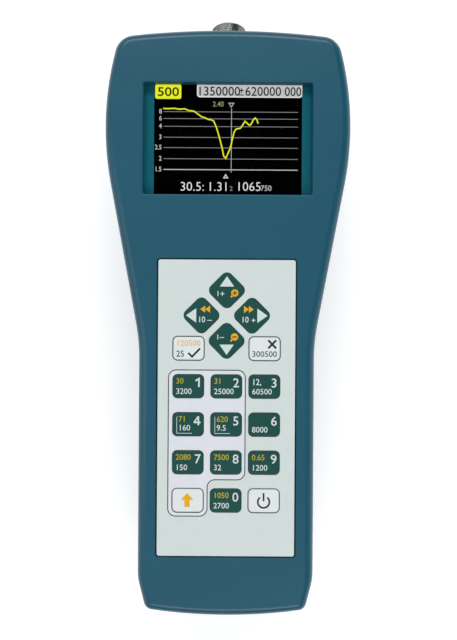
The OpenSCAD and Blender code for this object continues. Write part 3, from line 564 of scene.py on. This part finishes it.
# the slots stop at an odd angle, up to 1.5 radians, picked by a fixed number
turn = addNode(screwGroup, "FunctionNodeRandomValue", None, {3: 1.5, 7: 11}, data_type="FLOAT")
tilt = addNode(screwGroup, "ShaderNodeCombineXYZ", {"Z": turn.outputs[1]})
for corner in screwPlaces:
    point = addNode(screwGroup, "GeometryNodePoints", {"Position": given[corner]}, {"Count": 1})
    copy = addNode(screwGroup, "GeometryNodeInstanceOnPoints",
                   {"Points": point, "Instance": model.outputs["Geometry"], "Rotation": tilt})
    feed(everyScrew, {0: copy})
closeGroup(screwGroup, everyScrew, given["Material"])
print("node groups ready")

# battery door: the rear shell's own outside, cut to a plate with tongues
batteryDoor = fillMesh("batteryDoor", *loftRings(turned([p for p in backProfile if p[1] < 9])), tealAbs)
doorBlock = block(door["width"], yBot - 5, doorEnd, -1, door["thick"])
join(doorBlock, block(door["width"] + 2 * door["tongue"], yBot - 5, doorEnd,
                      door["thick"] - door["tongueThick"], door["thick"]))
grooves = grow("grooves", grooveGroup, {
    "Count": door["grooves"], "Start": (0, (doorEnd - 10) * mm, -door["grooveRound"] / 2 * mm),
    "Step": (0, -door["groovePitch"] * mm, 0), "Radius": door["grooveRound"] * mm,
    "Length": door["grooveLong"] * mm, "Material": tealAbs})
combine(batteryDoor, "INTERSECT", [doorBlock])
cut(batteryDoor, grooves)
edges = batteryDoor.modifiers.new("edges", "BEVEL")
edges.width, edges.segments = door["bevel"] * mm, 2
edges.limit_method, edges.angle_limit = "ANGLE", math.radians(50)
softEdges(batteryDoor)

# antenna connector: a barrel whose outside is the thread, with washer, nut, insulator and contact
threadY = nutY + connector["nutThick"] + 0.4
threadEnd = tipY - connector["bevel"]
pitch = 25.4 / connector["perInch"]
threadPiece = grow("connectorThread", threadGroup, {
    "Outer": connector["thread"] * mm, "Ridge": connector["ridge"] * mm, "Pitch": pitch * mm,
    "Start": threadY * mm, "Length": (threadEnd - threadY) * mm, "Height": connector["z"] * mm,
    "Around": 97, "Along": 85, "Material": nickel})
innerBack = innerY - 2.2
mouthFloor = tipY - connector["mouthDeep"]
threadR, barrelR, flangeR = connector["thread"], connector["barrel"], connector["flange"]
mouthR, boreR = connector["mouth"], connector["insulator"]
# from the end of the thread over the tip, down the stepped mouth, out over the flange and up to the thread
barrelProfile = [(threadR, threadEnd)]
barrelProfile += [(threadR - connector["bevel"] * math.sin(a),
                   threadEnd + connector["bevel"] * (1 - math.cos(a)) * 0.55 + 0.27 * math.sin(a))
                  for a in arc(15, 90, 4)]
barrelProfile += [(6.1, tipY), (5.6, tipY - 0.05), (5.35, tipY - 0.3), (5.3, tipY - 0.7), (4.6, tipY - 1.3),
                  (4.35, tipY - 1.55), (mouthR, tipY - 1.9), (mouthR, mouthFloor + 0.2),
                  (mouthR - 0.15, mouthFloor), (boreR + 0.02, mouthFloor), (boreR, mouthFloor - 0.2),
                  (boreR, innerBack), (flangeR - 0.3, innerBack), (flangeR, innerBack + 0.3),
                  (flangeR, innerY - 0.2), (flangeR - 0.1, innerY), (threadR, innerY),
                  (barrelR, innerY + 0.05), (barrelR, threadY - 0.15), (threadR, threadY)]
barrel = axialSolid("connectorBarrel", barrelProfile, nickel, wrap=False)
bm = bmesh.new()
bm.from_mesh(barrel.data)
bm.from_mesh(threadPiece.data)
bmesh.ops.delete(bm, geom=[f for f in bm.faces if len(f.verts) > 4], context="FACES_ONLY")
bmesh.ops.remove_doubles(bm, verts=bm.verts, dist=0.000004)
bmesh.ops.recalc_face_normals(bm, faces=bm.faces)
bm.to_mesh(barrel.data)
bm.free()
bpy.data.objects.remove(threadPiece)
barrel.data.polygons.foreach_set("use_smooth", [True] * len(barrel.data.polygons))
barrel.data.set_sharp_from_angle(angle=math.radians(38))


def hexLimit(a, r):
    side = connector["nutFlats"] / 2 / math.cos((a + math.pi / 6) % (math.pi / 3) - math.pi / 6)
    return min(side, r)


nutTop = nutY + connector["nutThick"]
corner = connector["nutFlats"] / math.sqrt(3)
# both faces of the nut are coned at the corners
cone = [(8.1, 0), (9.1, 0), (9.5, 0.12), (9.9, 0.3), (10.4, 0.55), (corner, 0.85)]
nutProfile = [(7.76, nutTop - 0.35), (7.76, nutY + 0.35)]
nutProfile += [(r, nutY + rise) for r, rise in cone] + [(r, nutTop - drop) for r, drop in reversed(cone)]
nut = axialSolid("connectorNut", nutProfile, nickel, steps=120, limit=hexLimit)
softEdges(nut, 28)
washerR = connector["washer"]
washer = axialSolid("connectorWasher", [
    (8.0, nutY - 0.1), (8.0, seatY + 0.1), (8.1, seatY), (washerR - 0.1, seatY), (washerR, seatY + 0.1),
    (washerR, nutY - 0.1), (washerR - 0.1, nutY), (8.1, nutY)], nickel)
softEdges(washer, 40)
# the contact is a bored pin whose tip two crossed slots split into four springs
contactTip = tipY - 1.2
pinR, pinBore = connector["contact"], connector["contactBore"]
contact = axialSolid("centreContact", [
    (pinBore, contactTip - 6), (0.0001, contactTip - 6.3), (0.0001, innerBack - 1),
    (pinR - 0.2, innerBack - 1), (pinR, innerBack - 0.8), (pinR, contactTip - 0.5),
    (pinR - 0.15, contactTip - 0.1), (pinR - 0.3, contactTip), (pinBore + 0.1, contactTip),
    (pinBore, contactTip - 0.15)], gold, steps=48)
half = connector["slot"] / 2
contactSlots = [block(3.4, -3, 3, -half, half), block(2 * half, -3, 3, -1.7, 1.7)]
for slot in contactSlots:
    slot.data.transform(Matrix.Translation((0, (contactTip - 1) * mm, connector["z"] * mm)))
cut(contact, *contactSlots)
softEdges(contact, 35)
print("connector: %d faces" % len(barrel.data.polygons))


# the prints are thin films of ink, drawn flat in millimetres
def letters(text, x, y, tall, align="LEFT", wide=1.0, bold=0.0):
    # capitals stand 0.695 of the font's size, bold moves each edge out in millimetres
    curve = bpy.data.curves.new("letters", "FONT")
    curve.body, curve.align_x, curve.size = text, align, tall / 0.695
    curve.resolution_u, curve.offset, curve.fill_mode = 3, bold, "FRONT"
    holder = bpy.data.objects.new("letters", curve)
    bpy.context.scene.collection.objects.link(holder)
    mesh = bpy.data.meshes.new_from_object(holder.evaluated_get(bpy.context.evaluated_depsgraph_get()))
    verts = [(x + wide * p.co.x, y + p.co.y) for p in mesh.vertices]
    faces = [tuple(f.vertices) for f in mesh.polygons if f.area > 1e-7]
    bpy.data.objects.remove(holder)
    bpy.data.curves.remove(curve)
    bpy.data.meshes.remove(mesh)
    return verts, faces


def filled(points):
    return [tuple(p) for p in points], [tuple(range(len(points)))]


def stroke(points, width, closed=False):
    # a line of even width, mitred at its bends
    count = len(points)
    left, right = [], []
    for i, p in enumerate(Vector(point) for point in points):
        before = Vector(points[i - 1]) if (i or closed) else p
        after = Vector(points[(i + 1) % count]) if (i + 1 < count or closed) else p
        a = (p - before if before != p else after - p).normalized()
        b = (after - p).normalized() if after != p else a
        side = Vector((-a.y - b.y, a.x + b.x)).normalized()
        side *= width / 2 / max(side.dot(Vector((-a.y, a.x))), 0.35)
        left.append(tuple(p + side))
        right.append(tuple(p - side))
    spans = range(count if closed else count - 1)
    return left + right, [(i, i + count, (i + 1) % count + count, (i + 1) % count) for i in spans]


def ringPoints(x, y, r, start=0, stop=360, steps=36):
    turns = arc(start, stop, steps)
    return [(x + r * math.cos(a), y + r * math.sin(a)) for a in (turns if stop - start < 360 else turns[:-1])]


def flat(ring):
    return [(px, py) for px, py, _ in ring]


def roundPath(points, r, steps=8):
    path = []
    for i, p in enumerate(points):
        u = (Vector(p) - Vector(points[i - 1])).normalized()
        v = (Vector(points[(i + 1) % len(points)]) - Vector(p)).normalized()
        side = 1 if u.x * v.y - u.y * v.x > 0 else -1
        centre = Vector(p) - u * r + Vector((-u.y, u.x)) * r * side
        for j in range(steps + 1):
            a = side * math.pi / 2 * j / steps
            n = Vector((u.y, -u.x)) * side
            path.append(tuple(centre + r * Vector((n.x * math.cos(a) - n.y * math.sin(a),
                                                   n.x * math.sin(a) + n.y * math.cos(a)))))
    return path


def standIn(obj, body, node):
    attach(obj, body)
    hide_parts(node)


def printed(name, body, z, shapes, thick=0.03):
    # shapes: (verts, faces), material; each becomes a closed film of ink
    verts, faces, slots = [], [], []
    mats = list(dict.fromkeys(mat for _, mat in shapes))
    for (points, polygons), mat in shapes:
        start = len(verts)
        verts += [(px, py, z) for px, py in points]
        faces += [tuple(start + i for i in f) for f in polygons]
        slots += [mats.index(mat)] * len(polygons)
    obj = fillMesh(name, verts, faces, smooth=False)
    for mat in mats:
        obj.data.materials.append(mat)
    obj.data.polygons.foreach_set("material_index", slots)
    bm = bmesh.new()
    bm.from_mesh(obj.data)
    bmesh.ops.remove_doubles(bm, verts=bm.verts, dist=0.000003)
    for f in bm.faces:
        f.normal_update()
        if f.normal.z < 0:
            f.normal_flip()
    bm.to_mesh(obj.data)
    bm.free()
    film = obj.modifiers.new("film", "SOLIDIFY")
    film.thickness, film.offset = thick * mm, -1
    bake(obj)
    obj.data.polygons.foreach_set("use_smooth", [False] * len(obj.data.polygons))
    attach(obj, body)


# keypad: side is across the flats of the arrow keys, paleTrim leaves the dark gap around the pale ones
key = {"width": 13.5, "height": 10.3, "corner": 2.1, "side": 12.3, "sideCorner": 2.65, "top": 50.1,
       "edge": 0.4, "gap": 0.12, "crown": 0.06, "hollow": 1.4, "flange": 0.6, "paleTrim": 0.18}
arrowKeys = ("up", "left", "right", "down")
paleKeys = ("ok", "cancel", "function", "power")
keyPlaces = {}
for name in (*arrowKeys, "ok", "cancel", "function", "0", "power", *"123456789"):
    low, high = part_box("key_" + name)
    keyPlaces[name] = ((low.x + high.x) / 2 / mm, (low.y + high.y) / 2 / mm)


def keyRing(name, out, z, steps=8):
    x, y = keyPlaces[name]
    out -= key["paleTrim"] if name in paleKeys else 0
    if name not in arrowKeys:
        wide, tall = key["width"] + 2 * out, key["height"] + 2 * out
        return roundedRect(x, y, wide, tall, key["corner"] + out, z, steps)
    side = key["side"] + 2 * out
    square = roundedRect(0, 0, side, side, key["sideCorner"] + out, z, steps)
    s = math.sqrt(0.5)
    return [(x + s * (px - py), y + s * (px + py), z) for px, py in flat(square)]


def keyCutter(name, bottom, top, flare):
    levels = [(0, bottom)] + [(out, top - low) for out, low in quarter(flare, 3)] + [(flare, top + 0.6)]
    return fillMesh("keyHole", *loftRings([keyRing(name, key["gap"] + out, z) for out, z in levels]))


levels = [(pad["trim"], pad["top"] - pad["thick"])]
levels += [(pad["trim"] + out, pad["top"] - low) for out, low in quarter(pad["edge"], 4)]
overlayRings = [roundedRect(0, padY, pad["width"] - 2 * inset, pad["height"] - 2 * inset,
                            pad["corner"] - inset, z) for inset, z in levels]
overlay = fillMesh("keypadSheet", *loftRings(overlayRings), paleFilm)
cut(overlay, *[keyCutter(name, 48, pad["top"], 0.1) for name in keyPlaces])
softEdges(overlay)
standIn(overlay, "case", "keypad_overlay")

# the lilac field round the digits of the first two columns and the function key
field = {"left": -24.95, "step": -8.0, "right": 8.2, "top": -26.1, "stepY": -73.35, "bottom": -89.1,
         "corner": 3.3, "line": 0.4, "z": 49.815}
fieldPath = roundPath([(field["right"], field["top"]), (field["left"], field["top"]),
                       (field["left"], field["bottom"]), (field["step"], field["bottom"]),
                       (field["step"], field["stepY"]), (field["right"], field["stepY"])], field["corner"])
fieldRings = [[(px, py, z) for px, py in fieldPath] for z in (pad["top"] - 0.1, field["z"])]
lilac = fillMesh("lilacArea", *loftRings(fieldRings), lilacInk)
cut(lilac, *[keyCutter(name, 49, 50.4, 0.1) for name in ("1", "2", "4", "5", "7", "8", "function")])
softEdges(lilac)
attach(lilac, "case")
shapes = [(stroke(fieldPath, field["line"], closed=True), darkInk)]
shapes += [(stroke(flat(keyRing(name, 0.26, 0)), 0.28, closed=True), darkInk) for name in paleKeys]
printed("keypadLines", "case", 49.84, shapes, 0.1)

for name in keyPlaces:
    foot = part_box("key_" + name)[0].z / mm
    # hollow underneath for the dome, then the flange that the sheet holds down, the side and the crown
    levels = [(-key["hollow"], 49.15), (-key["hollow"], foot), (key["flange"], foot),
              (key["flange"], foot + 0.2), (key["flange"] / 2, foot + 0.35), (0, foot + 0.4)]
    levels += [(-out, key["top"] - key["crown"] - low) for out, low in quarter(key["edge"], 5)]
    crown = ((0.8, 0.4), (1.3, 0.15), (1.9, 0))
    levels += [(-inset, key["top"] - key["crown"] * drop) for inset, drop in crown]
    capRings = [keyRing(name, out, z) for out, z in levels]
    cap = fillMesh("cap_" + name, *loftRings(capRings), whiteFilm if name in paleKeys else greenFilm)
    softEdges(cap, 60)
    standIn(cap, "key_" + name, "key_" + name)


def plainFour(right, base):
    # the font's own four fills in when it is made bold
    corners = [(-1.35, 0), (-0.65, 0), (-0.65, 0.85), (-1.35, 0.85), (-0.65, 1.5), (-1.35, 1.5),
               (-0.65, 3.85), (-1.35, 3.85), (-1.35, 2.8), (0, 0.85), (0, 1.5), (-3.0, 0.85), (-3.0, 1.5),
               (-2.25, 1.5)]
    return ([(right + cx, base + cy) for cx, cy in corners],
            [(0, 1, 2, 3), (3, 2, 4, 5), (5, 4, 6, 7, 8), (2, 9, 10, 4), (11, 3, 5, 13, 12), (12, 13, 8, 7)])


def pointer(cx, cy, dx, dy, length, half, mat):
    # triangle whose tip points along dx, dy
    tip = (cx + dx * length, cy + dy * length)
    return filled([tip, (cx - dy * half, cy + dx * half), (cx + dy * half, cy - dx * half)]), mat


def signMark(cx, cy, half, width, mat, minus=False):
    marks = [(stroke([(cx - half, cy), (cx + half, cy)], width), mat)]
    if not minus:
        marks.append((stroke([(cx, cy - half), (cx, cy - width / 2)], width), mat))
        marks.append((stroke([(cx, cy + width / 2), (cx, cy + half)], width), mat))
    return marks


# plain numbers stand where the real keys carry words; places are from the key's centre
codes = {"1": ("30", "3200"), "2": ("31", "25000"), "3": (None, "60500"), "4": ("71", "160"),
         "5": ("620", "9.5"), "6": (None, "8000"), "7": ("2080", "150"), "8": ("7500", "32"),
         "9": ("0.65", "1200"), "0": ("1050", "2700")}
legend = {"right": 5.6, "base": -0.3, "tall": 3.85, "smallTall": 2.4, "upperX": -5.3, "upperY": 1.15,
          "lowerX": -5.35, "lowerY": -3.3, "boxedX": -4.15, "boxedY": -2.6}
inkZ = key["top"] + 0.012
for name, (upper, lower) in codes.items():
    x, y = keyPlaces[name]
    boxed = name in "45"
    if name == "1":
        digit = stroke([(x + 3.1, y + 2.35), (x + 4.6, y + 3.3), (x + 4.6, y + legend["base"])], 0.72)
    elif name == "4":
        digit = plainFour(x + 5.45, y + legend["base"])
    else:
        digit = letters(name, x + legend["right"], y + legend["base"], legend["tall"], "RIGHT", 1.02, 0.045)
    shapes = [(digit, whiteInk)]
    if upper:
        left = x + legend["boxedX" if boxed else "upperX"]
        shapes.append((letters(upper, left, y + legend["upperY"], legend["smallTall"], "LEFT", 0.96, 0.02),
                       yellowInk))
    elif name == "3":
        shapes.append((letters("12,", x - 5.4, y + 0.7, 2.6, "LEFT", 0.9, 0.04), whiteInk))
    left, under = x + legend["boxedX" if boxed else "lowerX"], y + legend["boxedY" if boxed else "lowerY"]
    shapes.append((letters(lower, left, under, legend["smallTall"], "LEFT", 1.0, 0.022), whiteInk))
    if boxed:
        corner = [(x - 4.85, y + 3.3), (x - 4.85, y - 3.85), (x + 1.7, y - 3.85)]
        shapes.append((stroke(corner, 0.22), whiteInk))
    printed("legend_" + name, "key_" + name, inkZ, shapes)

# way: where the big triangle points; foot, long: its base's place and its height; number: text, place,
# height, width, bold; sign: place, half, width, minus; glass: the magnifier's place, its handle's end and
# the width of its sign; pair: the places of the two small triangles
arrowLegends = {
    "up": {"way": (0, 1), "foot": 1.6, "long": 4.45, "number": ("1", -4.6, -2.5, 2.1, 1.0, 0.04),
           "sign": (-1.95, -1.5, 0.85, 0.36, False), "glass": (3.4, -1.15, -1.8, 0.46)},
    "down": {"way": (0, -1), "foot": 1.6, "long": 4.45, "number": ("1", -4.6, 0.6, 2.1, 1.0, 0.04),
             "sign": (-2.1, 1.45, 1.0, 0.3, True), "glass": (3.4, 1.7, -1.85, 0.5)},
    "left": {"way": (-1, 0), "foot": 2.26, "long": 4.4, "number": ("10", -1.6, -2.9, 2.4, 0.95, 0.045),
             "sign": (3.55, -2.1, 1.0, 0.3, True), "pair": (1.6, 3.7)},
    "right": {"way": (1, 0), "foot": 2.26, "long": 4.4, "number": ("10", -4.7, -2.9, 2.4, 0.95, 0.045),
              "sign": (0.6, -1.95, 0.85, 0.34, False), "pair": (-3.5, -1.4)},
}
for name, drawn in arrowLegends.items():
    x, y = keyPlaces[name]
    dx, dy = drawn["way"]
    text, textX, textY, tall, wide, bold = drawn["number"]
    signX, signY, half, width, minus = drawn["sign"]
    shapes = [pointer(x + dx * drawn["foot"], y + dy * drawn["foot"], dx, dy, drawn["long"], 3.1, whiteInk),
              (letters(text, x + textX, y + textY, tall, wide=wide, bold=bold), whiteInk)]
    shapes += signMark(x + signX, y + signY, half, width, whiteInk, minus)
    shapes += [pointer(x + px, y + 2.7, dx, dy, 2.1, 1.5, orangeInk) for px in drawn.get("pair", ())]
    if "glass" in drawn:
        glassX, glassY, gripY, width = drawn["glass"]
        handle = [(x + glassX - 0.9, y + glassY - 0.95), (x + glassX - 1.65, y + glassY + gripY)]
        shapes.append((filled(ringPoints(x + glassX, y + glassY, 1.56)), orangeInk))
        shapes.append((stroke(handle, 0.75), orangeInk))
    printed("legend_" + name, "key_" + name, inkZ, shapes)
    if "glass" in drawn:
        printed("glass_" + name, "key_" + name, inkZ + 0.012,
                signMark(x + glassX, y + glassY, 0.95, width, darkInk, minus))

x, y = keyPlaces["ok"]
printed("legend_ok", "key_ok", inkZ, [
    (letters("120500", x - 5.4, y + 1.1, 2.35, wide=1.05, bold=0.02), orangeInk),
    (letters("25", x - 5.3, y - 3.6, 2.6, wide=0.95, bold=0.03), darkInk),
    (stroke([(x - 0.1, y - 1.95), (x + 1.56, y - 3.6), (x + 5.0, y)], 0.85), darkInk)])
x, y = keyPlaces["cancel"]
cross = {"x": 3.24, "y": 1.95, "half": 1.7, "rise": 1.75, "width": 0.9}
low, high = y + cross["y"] - cross["rise"], y + cross["y"] + cross["rise"]
left, right = x + cross["x"] - cross["half"], x + cross["x"] + cross["half"]
printed("legend_cancel", "key_cancel", inkZ, [
    (stroke([(left, low), (right, high)], cross["width"]), darkInk),
    (letters("300500", x - 5.5, y - 3.45, 2.4, wide=1.05, bold=0.025), darkInk)])
printed("cross_cancel", "key_cancel", inkZ + 0.012, [
    (stroke([(left, high), (right, low)], cross["width"]), darkInk)])
x, y = keyPlaces["function"]
plainArrow = [(-0.2, 3.2), (-2.9, 0.3), (-1.35, 0.3), (-1.35, -2.8), (0.95, -2.8), (0.95, 0.3), (2.5, 0.3)]
printed("legend_function", "key_function", inkZ, [
    (filled([(x + px, y + py) for px, py in plainArrow]), orangeInk)])
x, y = keyPlaces["power"]
printed("legend_power", "key_power", inkZ, [
    (stroke(ringPoints(x - 0.05, y - 0.45, 2.5, 128, 412), 0.76), darkInk),
    (stroke([(x - 0.05, y + 3.45), (x - 0.05, y - 0.1)], 0.76), darkInk)])
print("keypad ready: %d keys" % len(keyPlaces))

# what the lit screen shows: grid lines with their numbers, a curve, a cursor and three rows of numbers
view = {"z": 45.76, "film": 0.02, "left": -28.2, "right": 30.7, "cursor": 1.5,
        "yellowBox": (-26.3, 95.5, 11.5, 6.4), "greyBox": (9.4, 96.1, 46.2, 6.0),
        "labelY": 93.9, "tall": 3.9,
        "grid": [(86.73, "8"), (83.7, "6"), (80.3, "4"), (75.5, "3"), (70.97, "2.5"), (66.1, "2"),
                 (61.38, "1.5")]}
curve = [(-28.5, 88.1), (-26.2, 88.0), (-23.7, 88.2), (-21.5, 87.8), (-19.0, 88.0), (-17.2, 87.2),
         (-15.0, 87.0), (-13.2, 85.7), (-11.5, 84.5), (-10.0, 84.1), (-8.7, 83.4), (-7.2, 83.2),
         (-6.3, 82.7), (-5.2, 80.2), (-4.0, 76.4), (-2.6, 71.2), (-1.8, 67.3), (-0.9, 66.4), (-0.2, 68.0),
         (0.8, 70.3), (1.4, 72.3), (2.0, 75.2), (2.7, 78.0), (3.6, 79.3), (5.4, 79.6), (6.4, 81.0),
         (7.4, 82.7), (9.4, 80.9), (10.2, 81.5), (11.1, 83.5), (11.9, 84.2), (12.6, 83.3), (13.2, 81.7)]


def lit(name, layer, shapes):
    # layer: how many films lie underneath, so that nothing shows through
    printed(name, "case", view["z"] + layer * view["film"], shapes, view["film"])


gridLines = [stroke([(view["left"], gy), (view["right"], gy)], 0.24) for gy, _ in view["grid"][:-1]]
baseLine = stroke([(view["left"], view["grid"][-1][0]), (view["right"], view["grid"][-1][0])], 0.36)
lit("screenGrid", 0, [(line, glowGrey) for line in gridLines] + [(baseLine, glowSilver)] + [
    (letters(number, -29.0, gy - 0.85, 2.05, "RIGHT", 0.85, 0.03), glowSilver)
    for gy, number in view["grid"]])
lit("screenCursor", 1, [
    (stroke([(view["cursor"], 88.4), (view["cursor"], 60.1)], 0.22), glowSilver),
    (stroke([(0.3, 90.6), (2.5, 90.6), (1.4, 88.9)], 0.28, closed=True), glowSilver),
    (stroke([(-1.8, 57.8), (0.0, 57.8), (-0.9, 59.3)], 0.32, closed=True), glowWhite),
    (letters("2.40", -6.8, 89.1, 2.2, wide=0.9, bold=0.03), dimYellow)])
lit("screenTrace", 2, [(stroke(curve, 0.54), glowYellow)])
boxX, boxY, boxWide, boxTall = view["greyBox"]
lit("screenLabels", 0, [(filled(flat(roundedRect(*view["yellowBox"], 0.9, 0))), glowYellow),
                        (filled(flat(roundedRect(*view["greyBox"], 1.3, 0))), glowSilver)])
rim = flat(roundedRect(boxX, boxY, boxWide - 0.4, boxTall - 0.4, 1.1, 0))
lit("screenRim", 1, [(stroke(rim, 0.4, closed=True), glowWhite)])
words = [letters("500", -26.3, 93.6, 3.8, "CENTER", 1.18, 0.06)]
words += [letters(text, x, view["labelY"], view["tall"], "LEFT", wide, 0.03)
          for text, x, wide in (("1350000", -13.7, 0.97), ("620000", 7.3, 0.95), ("000", 24.6, 0.9))]
words.append(stroke([(4.75, 94.2), (6.85, 94.2)], 0.42))
lit("screenText", 2, [(word, offPixels) for word in words] + signMark(5.8, 96.2, 1.05, 0.42, offPixels))
foot = [(letters(text, x, y, view["tall"], "LEFT", 1.0, -0.045), glowWhite)
        for text, x, y in (("30.5:", -21.0, 52.1), ("1.31", -9.0, 52.1), ("1065", 3.6, 52.2))]
lit("screenFoot", 0, foot + [(letters("2", 0.8, 52.2, 2.0, "LEFT", 1.0), glowGrey),
                             (letters("750", 14.4, 52.25, 2.4, "LEFT", 0.95), glowSilver)])
print("screen ready")

# case screws: a slotted round head whose underside is at 0, and a shank with a point
screwSide = [(2.2, -2.0), (2.5, -1.95), (2.75, -1.75), (2.8, -1.5), (2.8, -0.1), (2.7, 0), (1.45, 0),
             (1.45, 15.6), (0.4, 17)]
screwModel = fillMesh("screwModel", *loftRings([roundRing(0, 0, r, z) for r, z in screwSide]), steel)
cut(screwModel, block(3.4, -0.4, 0.4, -3, -0.9), block(0.8, -1.7, 1.7, -3, -0.9))
screwModel.data.polygons.foreach_set("use_smooth", [True] * len(screwModel.data.polygons))
fourScrews = grow("caseScrews", screwGroup, {
    "Screw": screwModel, "Material": steel,
    **{corner: (x * mm, y * mm, screw["seat"] * mm) for corner, (x, y) in zip(screwPlaces, screws)}})
bpy.data.objects.remove(screwModel)
fourScrews.data.set_sharp_from_angle(angle=math.radians(30))
# the tongue inside the charging socket
tongueRing = list(reversed(flat(roundedRect(0, 0, 5.0, 0.7, 0.2, 0, 3))))
tongueRings = [[(px, y, port["z"] + pz) for px, pz in tongueRing] for y in (yBot + 1.9, yBot + 6.5)]
tongue = fillMesh("usbTongue", *loftRings(tongueRings), blackPlastic)

# what rides where, and which CAD node each piece stands in for
for obj, node, slotName in ((frontShell, "front_shell", "case"), (rearShell, "rear_shell", "case"),
                            (barrel, "connector_body", "nickel"), (nut, "connector_nut", "nickel"),
                            (washer, "connector_washer", "nickel"), (contact, "connector_contact", "gold"),
                            (fourScrews, "case_screws", "steel")):
    standIn(obj, "case", node)
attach(tongue, "case")
standIn(batteryDoor, "door", "battery_door")

# these keep their CAD shape and only get a material
keepShape = {
    "battery_tray": blackPlastic, "cells": cellWrap, "contacts_plus": nickel, "contacts_minus": nickel,
    "battery_leads": redPvc, "screen_window": clearPane, "screen_border": tealPaint,
    "screen_panel": darkGlass, "screen_frame": tin, "screen_ribbon": amberFilm, "keypad_spacer": spacerSheet,
    "keypad_circuit": board, "keypad_domes": steel, "keypad_tail": amberFilm, "main_board": board,
    "board_chips": chipEpoxy, "board_screws": steel, "buzzer": blackPlastic, "usb_socket": tin,
    "radio_board": board, "radio_screws": steel, "shield_can": tin, "board_link": blackPlastic,
    "connector_insulator": whitePlastic,
}
for node, mat in keepShape.items():
    for slot in nodes[node].material_slots:
        slot.material = mat

# room: a white backdrop for the eye and for reflections, dimmer as a light
world = bpy.data.worlds.new("studio")
bpy.context.scene.world = world
world.use_nodes = True
tree = world.node_tree
sky = next(n for n in tree.nodes if n.type == "BACKGROUND")
rays = addNode(tree, "ShaderNodeLightPath")
seen = rays.outputs["Is Camera Ray"]
for kind in ("Is Glossy Ray", "Is Transmission Ray"):
    seen = addNode(tree, "ShaderNodeMath", {0: seen, 1: rays.outputs[kind]}, operation="MAXIMUM")
level = addNode(tree, "ShaderNodeMapRange", {"Value": seen}, {"To Min": 0.3, "To Max": 1.0})
feed(sky, {"Strength": level}, {"Color": linear("#ffffff")})

# just under the object, so that its flat back doesn't share the floor's plane
half = 2500
floorCorners = [(-half, -half), (half, -half), (half, half), (-half, half)]
floor = fillMesh("floor", [(x, y, -0.05) for x, y in floorCorners], [(0, 1, 2, 3)])
paper, tree, shader, place = newMaterial("paper_white")
fibre = addNode(tree, "ShaderNodeTexNoise", {"Vector": place}, {"Scale": 8, "Detail": 2})
tone = addNode(tree, "ShaderNodeMapRange", {"Value": fibre}, {"To Min": 0.8, "To Max": 0.9})
# far from the object the paper goes over into the white of the backdrop
away = addNode(tree, "ShaderNodeVectorMath", {0: place}, operation="LENGTH")
reach = addNode(tree, "ShaderNodeMapRange", {"Value": away.outputs["Value"]},
                {"From Min": 0.35, "From Max": 0.9})
ray = addNode(tree, "ShaderNodeLightPath")
fade = addNode(tree, "ShaderNodeMath", {0: reach, 1: ray.outputs["Is Camera Ray"]}, operation="MULTIPLY")
lift = addNode(tree, "ShaderNodeMapRange", {"Value": fade}, {"To Min": 0.3, "To Max": 1.0})
feed(shader, {"Roughness": tone, "Emission Strength": lift},
     {"Base Color": linear("#fbfbfb"), "Emission Color": linear("#ffffff"), "Specular IOR Level": 0.1})
floor.data.materials.append(paper)

# two long soft boxes beyond the top and the bottom end, and a smaller one at each side
lamps = {
    "upper": {"at": (-60, 920, 760), "wide": 0.95, "deep": 0.26, "power": 6.6},
    "lower": {"at": (60, -900, 780), "wide": 0.95, "deep": 0.2, "power": 4.0},
    "left": {"at": (-700, -50, 700), "wide": 0.6, "deep": 0.6, "power": 1.5},
    "right": {"at": (760, -60, 460), "wide": 0.6, "deep": 0.6, "power": 2.4},
}
middle = Vector((0, 0, 30 * mm))
for name, lamp in lamps.items():
    light = bpy.data.lights.new(name, "AREA")
    light.shape, light.energy = "RECTANGLE", lamp["power"]
    light.size, light.size_y = lamp["wide"], lamp["deep"]
    holder = bpy.data.objects.new(name, light)
    holder.location = Vector(lamp["at"]) * mm
    holder.rotation_euler = (middle - holder.location).to_track_quat("-Z", "Y").to_euler()
    bpy.context.scene.collection.objects.link(holder)

# black cards beyond the lamps, only met by reflections, give bright metal and rounded edges their dark bands
cardMat, tree, shader, place = newMaterial("flock_black")
nap = addNode(tree, "ShaderNodeTexNoise", {"Vector": place}, {"Scale": 40, "Detail": 2})
tone = addNode(tree, "ShaderNodeMapRange", {"Value": nap}, {"To Min": 0.85, "To Max": 1.0})
feed(shader, {"Roughness": tone}, {"Base Color": linear("#222426"), "Specular IOR Level": 0.0})
rightCard = [(850, -900, 250), (850, 900, 250), (420, 900, 1050), (420, -900, 1050)]
endCards = [(x, end * y, z) for end in (1, -1)
            for x, y, z in ((-900, 1150, 200), (900, 1150, 200), (900, 1100, 750), (-900, 1100, 750))]
cards = fillMesh("cards", rightCard + endCards, [(0, 1, 2, 3), (4, 7, 6, 5), (8, 9, 10, 11)], cardMat,
                 smooth=False)
cards.visible_camera = cards.visible_diffuse = cards.visible_shadow = cards.visible_transmission = False

# square over the front, as near as the curved tip of the connector in the photo says
shot = {"lens": 31.6, "at": (0.75, -4.45, 292), "roll": 0.37, "nearest": 10}
camera = bpy.data.objects.new("camera", bpy.data.cameras.new("camera"))
camera.data.lens, camera.data.sensor_width, camera.data.sensor_fit = shot["lens"], 36, "AUTO"
camera.data.clip_start = shot["nearest"] * mm
camera.location = Vector(shot["at"]) * mm
camera.rotation_euler = (0, 0, math.radians(shot["roll"]))
bpy.context.scene.collection.objects.link(camera)
bpy.context.scene.camera = camera
bpy.context.scene.view_settings.view_transform = "Standard"
